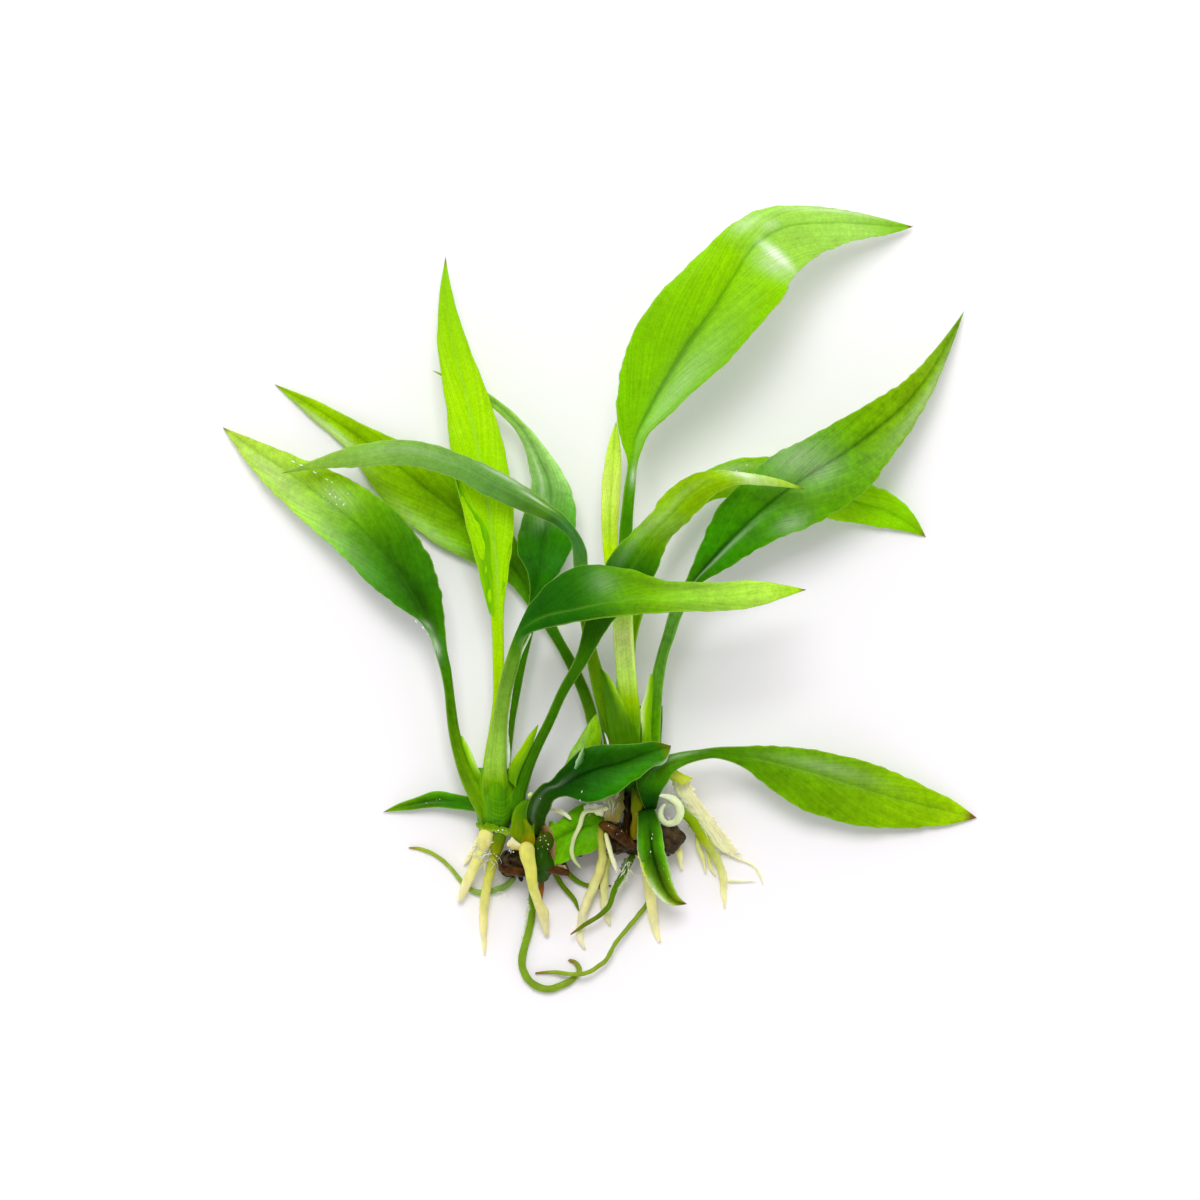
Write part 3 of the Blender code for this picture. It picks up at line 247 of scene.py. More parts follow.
    "bract_right": ([], [(-3.8, -31.6, 6.8, -2, -31.8, 6.9, -0.2, -31.8, 6.8),
        (-6.4, -29, 8.9, -4.2, -29, 9.3, -2, -29, 9.1),
        (-5.4, -26.2, 9.2, -2.8, -26.2, 9.7, -0.4, -26.2, 9.4),
        (-3.6, -23.2, 9.2, -1.5, -22.9, 9.7, 0.2, -22.6, 9.4),
        (-2, -20.6, 9.2, -1, -20.5, 9.5, 0, -20.4, 9.4), (-0.6, -18.8, 9.2)]),
}

# The finish of each leaf. tones: (place, colour) along it, -1 at the foot of the stalk, 0 where the blade
# begins and 1 at its tip; a few stops are painted light, where noted. rib: the midrib's colour and strength.
# shades: darker and lighter spots, partly the leaf's own tone and partly painted shade and light, as (place,
# side, length, width, how much). gloss_and_painted_sheen: wet spots, in the same way, where the skin is
# glossier and painted highlights pale its colour. mottle: how blotchy it is. brown: millimetres of dry tip.
# ruffle: height of the margin's waves in millimetres.
FINISHES = {
    "leaf_left_outer": {"slot": "leaf_green", "rib": ("#3A8006", 0.35), "mottle": 1.2, "brown": 1.2,
        "ruffle": 0.05,
        "tones": [(-1, "#6C9C1C"), (-0.7, "#628C22"), (-0.35, "#4C7C24"), (-0.06, "#4A8430"),
            (0.02, "#3E8406"), (0.15, "#307400"), (0.3, "#428A00"), (0.42, "#60A404"), (0.52, "#84C020"),
            (0.62, "#9CCC44"), (0.8, "#B4DA64"), (1, "#BCDC60")],
        "shades": [(0.1, 0.1, 0.12, 0.45, -0.5), (0.27, 0.05, 0.12, 0.35, -0.35),
            (0.36, 0.6, 0.14, 0.4, -0.16), (0.66, 0.35, 0.07, 0.28, -0.18), (0.42, -0.95, 0.3, 0.25, 0.5),
            (-0.6, 0.5, 0.3, 0.5, 0.2)],
        "gloss_and_painted_sheen": [(0.56, 0.3, 0.06, 0.35, 0.25), (-0.05, -0.5, 0.05, 0.5, 0.6),
            (0.035, -0.35, 0.018, 0.3, 0.4), (0.75, -0.4, 0.2, 0.4, 0.2), (0.52, -0.75, 0.22, 0.3, 0.2)]},
    "leaf_left_upright": {"slot": "leaf_pale", "rib": ("#CDF270", 0.25),
        "shades": [(0.6, -0.95, 0.5, 0.12, -0.15), (0.5, 0.9, 0.5, 0.15, -0.1)], "gloss_and_painted_sheen": [], "mottle": 0.3,
        "brown": 1.6, "ruffle": 0.02,
        "tones": [(-1, "#ACD83A"), (-0.5, "#B4E040"), (-0.1, "#ACE020"), (0.02, "#A8E410"),
            (0.15, "#A4E404"), (0.35, "#AAEA02"), (0.6, "#AEEA04"), (0.8, "#9CDA00"), (0.93, "#90D004"),
            (1, "#8CCC10")]},
    "leaf_left_front": {"slot": "leaf_green", "rib": ("#7CB838", 0.25),
        "gloss_and_painted_sheen": [(0.33, -0.5, 0.04, 0.3, 0.14), (-0.05, 0.8, 0.04, 0.3, 0.1)], "mottle": 0.9, "brown": 1.6,
        "ruffle": 0.02,
        "tones": [(-1, "#4A7E02"), (-0.9, "#5A9408"), (-0.82, "#8EB84A"), (-0.73, "#9CC45C"),
            (-0.5, "#84AC4C"), (-0.2, "#6A943E"), (-0.04, "#3E7820"), (0.02, "#1E6600"), (0.1, "#1C6000"),
            (0.22, "#226800"), (0.3, "#3A8000"), (0.38, "#6AA830"), (0.5, "#90C84A"), (0.65, "#A8DA60"),
            (0.85, "#C0EC6E"), (1, "#B0E048")],
        "shades": [(0.14, -0.5, 0.12, 0.5, -0.22), (0.5, 0.7, 0.3, 0.45, -0.3),
            (0.46, -0.6, 0.13, 0.4, -0.42), (0.66, -0.65, 0.13, 0.35, -0.32),
            (-0.65, -0.1, 0.35, 0.5, 0.16)]},
    "leaf_left_back": {"slot": "leaf_dark", "rib": ("#3E8024", 0.4),
        "gloss_and_painted_sheen": [(0.3, -0.2, 0.05, 0.25, 0.3), (0.44, -0.4, 0.1, 0.1, 0.5)], "mottle": 1, "brown": 0.5,
        "ruffle": 0.02,
        "tones": [(-1, "#5E9430"), (-0.5, "#4A8220"), (-0.05, "#2E6E0C"), (0.02, "#2C6C14"),
            (0.12, "#3E7E30"), (0.22, "#488E30"), (0.32, "#74AC54"), (0.42, "#9CCC78"), (0.55, "#A0CC78"),
            (0.75, "#98C45C"), (0.9, "#A0C458"), (1, "#BCCC48")],
        "shades": [(0.5, -0.75, 0.25, 0.35, -0.1), (0.5, 0.95, 0.25, 0.3, 0.5),
            (0.12, -0.6, 0.1, 0.5, -0.3), (0.22, 0.5, 0.06, 0.4, 0.2)]},
    "leaf_left_crossing": {"slot": "leaf_green", "rib": ("#6C9C22", 0.3),
        "shades": [(0.4, 0.6, 0.2, 0.5, -0.2), (-0.7, 0.5, 0.4, 0.5, -0.25)], "mottle": 0.9, "brown": 1.6,
        "ruffle": 0.03,
        # the palest stop, at 0.77, is a painted highlight on the bend of the fold
        "tones": [(-1, "#4E8E14"), (-0.8, "#447F12"), (-0.5, "#407618"), (-0.15, "#3C701E"),
            (0.02, "#2E6A00"), (0.12, "#2A6600"), (0.22, "#2C6C00"), (0.28, "#4A8A14"), (0.34, "#76A83C"),
            (0.42, "#8CB650"), (0.5, "#8CB83C"), (0.64, "#8AB428"), (0.72, "#A8D05C"), (0.77, "#CCE89C"),
            (0.9, "#B8DC66"), (1, "#9CBC3C")],
        "gloss_and_painted_sheen": [(0.765, -0.5, 0.035, 0.45, 0.9), (0.33, -0.55, 0.14, 0.22, 0.1),
            (0.5, -0.3, 0.1, 0.15, 0.12)]},
    "leaf_left_torn": {"slot": "leaf_dark", "rib": ("#0A3402", 0.85), "mottle": 1, "brown": 0.8,
        "ruffle": 0.07,
        "tones": [(-1, "#2C4A14"), (-0.4, "#24480F"), (0, "#124202"), (0.3, "#144C00"), (0.6, "#1E5400"),
            (0.88, "#245E00"), (1, "#5A6410")],
        "shades": [(0.25, 0.8, 0.25, 0.45, 0.7), (0.6, 0.8, 0.3, 0.55, 1.9), (0.9, 0, 0.1, 0.6, 0.6),
            (0.6, -0.95, 0.25, 0.3, 0.9)],
        "gloss_and_painted_sheen": [(-0.05, -0.3, 0.14, 0.16, 0.16), (0.93, 0.95, 0.12, 0.12, 0.5),
            (-0.5, -0.3, 0.3, 0.2, 0.12)]},
    "leaf_left_low": {"slot": "leaf_dark", "rib": ("#236006", 0.5), "gloss_and_painted_sheen": [(0.35, -0.3, 0.2, 0.1, 0.08)],
        "mottle": 1, "brown": 1, "ruffle": 0.03,
        "tones": [(-1, "#3E8806"), (0, "#388204"), (0.4, "#447E0A"), (0.8, "#6A9C2C"), (1, "#8AA850")],
        "shades": [(0.3, 0.85, 0.6, 0.3, 0.5), (0.3, -0.5, 0.5, 0.35, -0.2), (0.3, -1, 0.6, 0.2, 0.5)]},
    "leaf_right_crossing_low": {"slot": "leaf_green", "rib": ("#4E8E0C", 0.35),
        "gloss_and_painted_sheen": [(0.8, -0.7, 0.1, 0.25, 0.45), (0.42, -0.85, 0.12, 0.15, 0.25)], "mottle": 1, "brown": 1,
        "ruffle": 0.02,
        "tones": [(-1, "#6A9A30"), (-0.6, "#4A7C1C"), (-0.1, "#3C7A1A"), (0, "#4A8E10"), (0.12, "#5C9A1A"),
            (0.25, "#7CB428"), (0.5, "#98CC2C"), (0.7, "#9CCA34"), (0.85, "#A8D448"), (1, "#98C438")],
        "shades": [(0.3, 0.25, 0.14, 0.22, -0.45), (0.1, 0.4, 0.08, 0.5, -0.2), (0.35, -0.7, 0.2, 0.3, 0.2)]},
    "leaf_right_crossing_high": {"slot": "leaf_back", "rib": ("#8CC470", 0.15), "mottle": 0.8, "brown": 1,
        "ruffle": 0.03,
        "tones": [(-1, "#5E9810"), (-0.75, "#5C8C14"), (-0.5, "#72A030"), (-0.2, "#5A8A34"), (0, "#4E8042"),
            (0.08, "#42783A"), (0.15, "#60903A"), (0.3, "#6C9C50"), (0.5, "#7CA858"), (0.7, "#8CB85E"),
            (0.9, "#94BC56"), (1, "#80AC52")],
        "shades": [(0.19, -0.45, 0.05, 0.4, -0.35), (0.11, -0.5, 0.02, 0.5, -0.4),
            (0.28, -0.1, 0.08, 0.3, -0.2)],
        "gloss_and_painted_sheen": [(0.2, 0.5, 0.05, 0.12, 0.8), (0.31, 0.8, 0.07, 0.13, 0.6), (0.6, 0.2, 0.12, 0.3, 0.15)]},
    "leaf_right_top": {"slot": "leaf_green", "rib": ("#57A208", 0.6), "mottle": 0.6, "brown": 1.2,
        "ruffle": 0,
        # the stalk's pale stops from -0.82 to -0.52 are painted light: lighter where the leaf above casts its
        # shadow
        "tones": [(-1, "#4E8C0C"), (-0.9, "#74AC1C"), (-0.82, "#A4CC48"), (-0.72, "#CCF080"),
            (-0.6, "#ECFFA0"), (-0.52, "#C4F06C"), (-0.42, "#5E9C0C"), (-0.2, "#3F8800"),
            (-0.05, "#62A820"), (0.03, "#80C808"), (0.15, "#82CC00"), (0.3, "#80C408"), (0.45, "#92D034"),
            (0.62, "#AADC68"), (0.85, "#B0E074"), (1, "#8CC840")],
        "shades": [(0.18, 0.04, 0.12, 0.07, -0.35), (0.32, 0.03, 0.1, 0.06, -0.3),
            (0.66, 0.3, 0.05, 0.3, -0.14), (-0.62, 0.9, 0.25, 0.15, 0.25), (-0.62, -0.9, 0.25, 0.15, 0.15)],
        "gloss_and_painted_sheen": [(0.578, 0.45, 0.012, 0.42, 1.3), (0.55, 0.55, 0.03, 0.35, 0.5),
            (0.58, -0.75, 0.03, 0.2, 0.5), (0.62, -0.3, 0.02, 0.2, 0.4), (0.8, -0.78, 0.12, 0.12, 0.5),
            (0.18, 0.5, 0.14, 0.35, 0.28), (-0.05, 0.4, 0.03, 0.5, 0.7)]},
    "leaf_right_rolled": {"slot": "leaf_pale", "rib": ("#A4DC24", 0.4),
        "shades": [(0.3, 0.8, 0.5, 0.4, -0.2)], "gloss_and_painted_sheen": [], "mottle": 0.4, "brown": 0.6, "ruffle": 0,
        "tones": [(-1, "#9CD81C"), (-0.3, "#B0EC24"), (0, "#D4FF50"), (0.5, "#E8FF88"), (1, "#D8FC68")]},
    "leaf_right_back": {"slot": "leaf_green", "rib": ("#62A404", 0.45),
        "shades": [(0.35, 0.5, 0.15, 0.5, -0.15)], "gloss_and_painted_sheen": [(0.36, -0.6, 0.08, 0.2, 0.3)], "mottle": 0.5,
        "brown": 1, "ruffle": 0.02,
        "tones": [(-1, "#8CBC2C"), (0, "#8AC03C"), (0.3, "#86BE34"), (0.5, "#90CC10"), (0.7, "#9CE004"),
            (0.9, "#94DC04"), (1, "#84B810")]},
    "leaf_right_large": {"slot": "leaf_dark", "rib": ("#1E6010", 0.55), "mottle": 1.5, "brown": 1,
        "ruffle": 0.1,
        # the stalk's stops at -0.6 and -0.2 are painted light: lighter where the leaf above casts its shadow
        "tones": [(-1, "#6AAA28"), (-0.6, "#669C3C"), (-0.2, "#72A850"), (0, "#3C741C"), (0.1, "#388808"),
            (0.2, "#42900A"), (0.35, "#62A02A"), (0.5, "#6CA82C"), (0.65, "#80B034"), (0.8, "#88B040"),
            (1, "#6C9438")],
        "shades": [(0.08, -0.02, 0.14, 0.14, -0.55), (0.1, -0.85, 0.1, 0.3, 0.4),
            (0.35, 0.5, 0.12, 0.4, -0.15), (0.6, 0, 0.2, 0.12, -0.2)],
        "gloss_and_painted_sheen": [(0.41, -0.6, 0.07, 0.45, 0.32), (0.43, 0.05, 0.05, 0.3, 0.22),
            (0.3, 0.75, 0.04, 0.2, 0.3), (0.1, 0.16, 0.12, 0.08, 0.4), (0.75, 0.7, 0.15, 0.3, 0.25)]},
    "leaf_right_low": {"slot": "leaf_green", "rib": ("#9CCC4C", 0.3),
        "shades": [(0.3, 0.6, 0.4, 0.4, -0.12)],
        "gloss_and_painted_sheen": [(-0.5, -0.5, 0.15, 0.25, 0.3), (0.35, -0.4, 0.2, 0.25, 0.2)], "mottle": 1.1, "brown": 1.8,
        "ruffle": 0.03,
        "tones": [(-1, "#082E00"), (-0.88, "#164C00"), (-0.76, "#3A7C0C"), (-0.55, "#528C1E"),
            (-0.25, "#4A8018"), (0, "#588E1C"), (0.2, "#70A626"), (0.5, "#7CB01C"), (0.8, "#98CC20"),
            (1, "#ACD42C")]},
    "leaf_right_hanging": {"slot": "leaf_dark", "rib": ("#0E3E02", 0.8), "mottle": 1, "brown": 1.2,
        "ruffle": 0.03,
        "tones": [(-1, "#0E3A02"), (0, "#346C08"), (0.15, "#42800C"), (0.3, "#386C00"), (0.5, "#4E7606"),
            (0.7, "#62860E"), (0.86, "#7C9030"), (1, "#3C3A10")],
        "shades": [(0.66, 0.8, 0.26, 0.38, 1.6), (0.4, -0.85, 0.5, 0.25, 1.7), (0.25, 0.7, 0.2, 0.2, 0.7),
            (0.5, 0, 0.45, 0.22, -0.3)],
        "gloss_and_painted_sheen": [(0.72, 0.95, 0.2, 0.3, 1.3), (0.45, 1, 0.25, 0.15, 0.6), (0.6, -1, 0.35, 0.12, 0.7)]},
    "leaf_right_old": {"slot": "leaf_pale",
        "tones": [(-1, "#5EA40C"), (0, "#62A808"), (0.5, "#6AB408"), (1, "#7CC414")],
        "rib": ("#3C8404", 0.7), "shades": [(0.4, 0.15, 0.5, 0.2, -0.3), (0.8, 0.4, 0.3, 0.5, 0.25)],
        "gloss_and_painted_sheen": [], "mottle": 1.2, "brown": 0.4, "ruffle": 0.1},
    "bract_right": {"slot": "leaf_pale", "rib": ("#A8D44C", 0.2), "shades": [(0.3, 0.6, 0.4, 0.4, -0.2)],
        "gloss_and_painted_sheen": [(0.5, -0.6, 0.3, 0.25, 0.25)], "mottle": 1.3, "brown": 0.4, "ruffle": 0.03,
        "tones": [(-1, "#5E9A14"), (0, "#5E9A14"), (0.4, "#78B024"), (0.8, "#8CC038"), (1, "#9CCC44")]},
}


def linear(hexes, brightness=1.0):
    """The linear colour of an sRGB hex value, by the sRGB curve."""
    shares = [int(hexes[i : i + 2], 16) / 255 for i in (1, 3, 5)]
    straight = [s / 12.92 if s <= 0.04045 else ((s + 0.055) / 1.055) ** 2.4 for s in shares]
    return (*(brightness * s for s in straight), 1.0)


def add(tree, kind, links=(), stops=(), **settings):
    """Adds a shader node: its settings, its ramp's stops, and links of (socket, value or other socket)."""
    made = tree.nodes.new("ShaderNode" + kind)
    for name, value in settings.items():
        setattr(made, name, value)
    if stops:
        elements = made.color_ramp.elements
        while len(elements) < len(stops):
            elements.new(0.5)
        for element, (place, colour) in zip(elements, stops):
            element.position, element.color = place, colour
    for socket, value in links:
        if isinstance(value, bpy.types.NodeSocket):
            tree.links.new(value, made.inputs[socket])
        else:
            made.inputs[socket].default_value = value
    return made


def new_material(name):
    """An empty Principled material: the material, its tree and its shader."""
    made = bpy.data.materials.new(name)
    made.use_nodes = True
    return made, made.node_tree, made.node_tree.nodes["Principled BSDF"]


def smooth_rows(rows, spacing):
    """Rows read at even steps from a smooth curve through the given ones, and their places along it.

    The curve is a cubic between neighbours, and its slope at each row is that of the parabola through
    the row and the two beside it. The last three columns are the place of the middle line.
    """
    rows = np.array(rows, float)
    steps = np.linalg.norm(np.diff(rows[:, -3:], axis=0), axis=1)
    at = np.concatenate(([0.0], np.cumsum(steps)))
    chords = np.diff(rows, axis=0) / steps[:, None]
    slopes = np.empty_like(rows)
    before, after = steps[:-1, None], steps[1:, None]
    slopes[1:-1] = (chords[:-1] * after + chords[1:] * before) / (before + after)
    slopes[0] = 1.5 * chords[0] - 0.5 * slopes[1] if len(rows) > 2 else chords[0]
    slopes[-1] = 1.5 * chords[-1] - 0.5 * slopes[-2] if len(rows) > 2 else chords[-1]
    places = np.linspace(0.0, at[-1], max(4, round(at[-1] / spacing) + 1))
    span = np.clip(np.searchsorted(at, places, side="right") - 1, 0, len(steps) - 1)
    length = steps[span][:, None]
    t = ((places - at[span]) / steps[span])[:, None]
    leave, arrive = slopes[span] * length, slopes[span + 1] * length
    table = (
        rows[span] * (2 * t**3 - 3 * t**2 + 1)
        + leave * (t**3 - 2 * t**2 + t)
        + rows[span + 1] * (3 * t**2 - 2 * t**3)
        + arrive * (t**3 - t**2)
    )
    return table, places, at


def unit(vectors):
    """Each vector at length 1."""
    return vectors / np.maximum(np.linalg.norm(vectors, axis=-1, keepdims=True), 1e-12)


def ripple(points, wavelength, seed):
    """Soft unevenness from -1 to 1: the mean of nine sine waves that run in directions of their own."""
    draw = np.random.default_rng(seed)
    ways = unit(draw.normal(size=(9, 3))) * (2 * math.pi / wavelength) * draw.uniform(0.7, 1.5, (9, 1))
    starts = draw.uniform(0, 2 * math.pi, 9)
    return np.sin(points @ ways.T + starts).sum(axis=-1) / 4.5


def shell(rings, values, tip=None):
    """A closed skin round rings of points, (rows, points round, 3), with a fan at each end, its faces out.

    values holds one number per ring point for each named attribute; a fan's middle takes the ring's mean.
    """
    rows, around = rings.shape[:2]
    index = np.arange(rows * around).reshape(rows, around)
    after = np.roll(index, -1, axis=1)
    sides = np.stack((index[:-1], after[:-1], after[1:], index[1:]), axis=-1).reshape(-1, 4)
    first, last = rows * around, rows * around + 1
    foot = np.stack((after[0], index[0], np.full(around, first)), axis=-1)
    head = np.stack((index[-1], after[-1], np.full(around, last)), axis=-1)
    fans = np.stack((rings[0].mean(axis=0), rings[-1].mean(axis=0) if tip is None else np.array(tip)))
    points = np.concatenate((rings.reshape(-1, 3), fans))
    a, b, c, d = (points[sides[:, k]] - fans[0] for k in range(4))
    if (a * (np.cross(b, c) + np.cross(c, d))).sum() < 0:
        sides, foot, head = sides[:, ::-1], foot[:, ::-1], head[:, ::-1]
    carried = {}
    for name, v in values.items():
        ends = np.stack((v[0].mean(axis=0), v[-1].mean(axis=0)))
        carried[name] = np.concatenate((v.reshape(rows * around, *v.shape[2:]), ends))
    return {"points": points, "quads": sides, "triangles": np.concatenate((foot, head)), "values": carried}


def round_trip(above, below):
    """Rings that go across on the one face and back on the other, whose ends are the same."""
    return np.concatenate((above, below[:, -2:0:-1]), axis=1)


def joined(shells):
    """Several skins as one, with the same attributes."""
    starts = np.cumsum([0] + [len(s["points"]) for s in shells])
    names = sorted(set().union(*(s["values"] for s in shells)))
    return {
        "points": np.concatenate([s["points"] for s in shells]),
        "quads": np.concatenate([s["quads"] + n for s, n in zip(shells, starts)]),
        "triangles": np.concatenate([s["triangles"] + n for s, n in zip(shells, starts)]),
        "values": {
            n: np.concatenate([s["values"].get(n, np.zeros(len(s["points"]))) for s in shells]) for n in names
        },
    }


def piece(name, skin, material, slot, nodes):
    """Puts a skin into a mesh, as a piece that stands for CAD nodes and takes a slot's finish."""
    quads, triangles = skin["quads"], skin["triangles"]
    mesh = bpy.data.meshes.new(name)
    mesh.vertices.add(len(skin["points"]))
    # nothing stands out of the box of the CAD model
    points = np.clip(skin["points"] * MM, *cad_box)
    mesh.vertices.foreach_set("co", points.astype(np.float32).ravel())
    mesh.loops.add(quads.size + triangles.size)
    corners = np.concatenate((quads.ravel(), triangles.ravel()))
    mesh.loops.foreach_set("vertex_index", corners.astype(np.int32))
    starts = np.concatenate((np.arange(len(quads)) * 4, quads.size + np.arange(len(triangles)) * 3))
    mesh.polygons.add(len(starts))
    mesh.polygons.foreach_set("loop_start", starts.astype(np.int32))
    mesh.update(calc_edges=True)
    if mesh.validate():
        raise RuntimeError(f"{name} has faces that Blender had to mend")
    mesh.shade_smooth()
    for key, value in skin["values"].items():
        kind, field = ("FLOAT_VECTOR", "vector") if value.ndim == 2 else ("FLOAT", "value")
        mesh.attributes.new(key, kind, "POINT").data.foreach_set(field, value.astype(np.float32).ravel())
    mesh.materials.append(material)
    made = bpy.data.objects.new(name, mesh)
    bpy.context.scene.collection.objects.link(made)
    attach(made, "root")
    if nodes:
        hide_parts(*nodes)
    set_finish(made, slot)


def across_places(half):
    """Places across a blade, -1 to 1, closer together at the midrib and at the margins."""
    t = np.linspace(0, 1, half + 1)
    place = 0.5 - 0.5 * np.cos(math.pi * t)
    return np.concatenate((-place[:0:-1], place))


def spots(share, side, listed):
    """Soft oval spots over a leaf: the sum of (place, side, length, width, how much) bells."""
    total = np.zeros(np.broadcast(share, side).shape)
    for place, across, length, width, much in listed:
        total = total + much * np.exp(-(((share - place) / length) ** 2) - ((side - across) / width) ** 2)
    return total


def leaf_skin(name, sizes):
    """A leaf as one closed skin.

    Across it runs u, from -1 at the left edge over 0 at the midrib to 1 at the right edge. A point is the
    midrib's place plus |u| times the way to the edge, raised by a height. On the stalk the height is half
    the depth times the circle's root of 1 - u squared, with a shallow channel above. On the blade each half
    swells as 4 |u| (1 - |u|), the tissue is a lens that ends at the margin, the midrib is a groove above and
    a keel below, and the margin carries waves. A smooth share goes from the one to the other.
    """
    finish, tissue = FINISHES[name], sizes.tissue / MM
    stalk = np.array(LEAVES[name][0], float).reshape(-1, 5)
    blade = [np.array(row * (9 // len(row)), float) for row in LEAVES[name][1]]
    middles = [*stalk[:, :3], *(row[3:6] for row in blade)]
    rows = []
    for i, middle in enumerate(middles):
        if i < len(stalk):
            ahead = middles[i + 1] - middles[max(i - 1, 0)]
            side = np.array((ahead[1], -ahead[0], 0.0))
            side *= stalk[i, 3] / 2 / np.linalg.norm(side)
            left, right, depth, share = middle - side, middle + side, stalk[i, 4], 1.0
        else:
            row = blade[i - len(stalk)]
            left, right, depth, share = row[:3], row[6:], tissue, 0.4 if i == len(stalk) and i else 0.0
        rows.append(np.concatenate((left, right, (depth, share), middle)))
    table, places, at = smooth_rows(rows, sizes.step / MM)
    tip = table[-1, -3:]
    table, places = table[:-1], places[:-1]
    left, right, middle = table[:, None, :3], table[:, None, 3:6], table[:, None, 8:]
    depth, stalky = table[:, 6:7], np.clip(table[:, 7:8], 0, 1)
    u = across_places(BLADE_COLUMNS)[None, :]
    away = np.abs(u)
    edge = np.where(u[..., None] < 0, left, right)
    along = np.gradient(table[:, 8:], axis=0)
    up = unit(np.cross(table[:, 3:6] - table[:, :3], along))[:, None, :]
    start = at[len(stalk)]
    run = places[:, None] - start
    blade_length = at[-1] - start
    share = np.where(run < 0, run / max(start, 1e-6), run / blade_length)
    reach = np.linalg.norm(edge - middle, axis=-1)
    width = reach.mean(axis=1, keepdims=True)
    seed = sum(map(ord, name))
    calm = (1 - stalky) * np.clip((blade_length - run) / 8, 0, 1)
    apart = 40.0  # millimetres, so that the two margins have waves of their own
    line = (run + (u < 0) * apart)[..., None] * np.array((1.0, 0.0, 0.0))
    wave = finish["ruffle"] * calm * away**2.5 * 2.2 * ripple(line, 6.5, seed)
    notches = 0.2 * finish["ruffle"] * ripple(line, 7.0, seed + 2) + 0.05 * ripple(line, 2.3, seed + 3)
    trim = 1 + calm * away**2 * notches / np.maximum(width / 3, 1)
    flat = middle + (away * trim)[..., None] * (edge - middle)
    round_ = np.sqrt(np.clip(1 - u**2, 0, 1))
    swell = 4 * away * (1 - away) * sizes.camber * width * (1 - stalky)
    lens = np.sqrt(np.clip(1 - u**4, 0, 1)) * np.minimum(tissue / 2, 0.3 * width + 0.05)
    groove = 0.22 * np.exp(-((reach * away / 0.4) ** 2)) * np.clip(width / 3, 0, 1)
    quilt = (0.13 * ripple(flat, 9.0, seed) + 0.045 * ripple(flat, 3.0, seed + 1)) * calm
    ribs = 0.02 * np.sin(reach * away * 2 * math.pi / 0.9) * (1 - stalky) * np.clip(width / 3, 0, 1) * round_
    bulge = depth / 2 * round_
    channel = 1 - 0.3 * np.exp(-((u / 0.4) ** 2)) + 0.05 * np.cos(u * 9.5)
    upper = stalky * bulge * channel + (1 - stalky) * (swell + lens - groove)
    lower = -stalky * bulge + (1 - stalky) * (swell - lens - 1.6 * groove)
    open_ = 1 - away**6
    raised = (wave + quilt + ribs) * (1 - stalky * 0.5)
    top = flat + up * (upper + raised)[..., None]
    bottom = flat + up * (lower * open_ + upper * (1 - open_) + raised)[..., None]
    rings = round_trip(top, bottom)
    rings[..., 2] = np.maximum(rings[..., 2], LOWEST)
    spread = np.broadcast_to(u, reach.shape)
    vein = (1 - stalky) * 0.9 * (run - 0.4 * blade_length * away) + stalky * 2.6 * spread * reach
    cross = (1 - stalky) * 0.12 * spread * reach + stalky * 0.1 * run
    values = {
        "share": np.broadcast_to(share, reach.shape),
        "across": spread * reach,
        "margin": reach * (1 - away),
        "tip": np.broadcast_to(blade_length - run, reach.shape),
        # darker and lighter spots, partly the leaf's own tone and partly painted shade and light
        "shade": np.maximum(1 + spots(share, spread, finish["shades"]), 0.2),
        # wet spots: glossier skin, and painted highlights that pale the colour
        "gloss_and_painted_sheen": np.clip(spots(share, spread, finish["gloss_and_painted_sheen"]), 0, 1.4),
        "grain": np.stack((vein, cross, np.zeros(reach.shape)), axis=-1),
    }
    values = {k: round_trip(v, v) for k, v in values.items()}
    values["gloss_and_painted_sheen"][:, u.shape[1] :] *= 0.3
    values["grain"][:, u.shape[1] :, 2] = 3.0
    return shell(rings, values, tip)


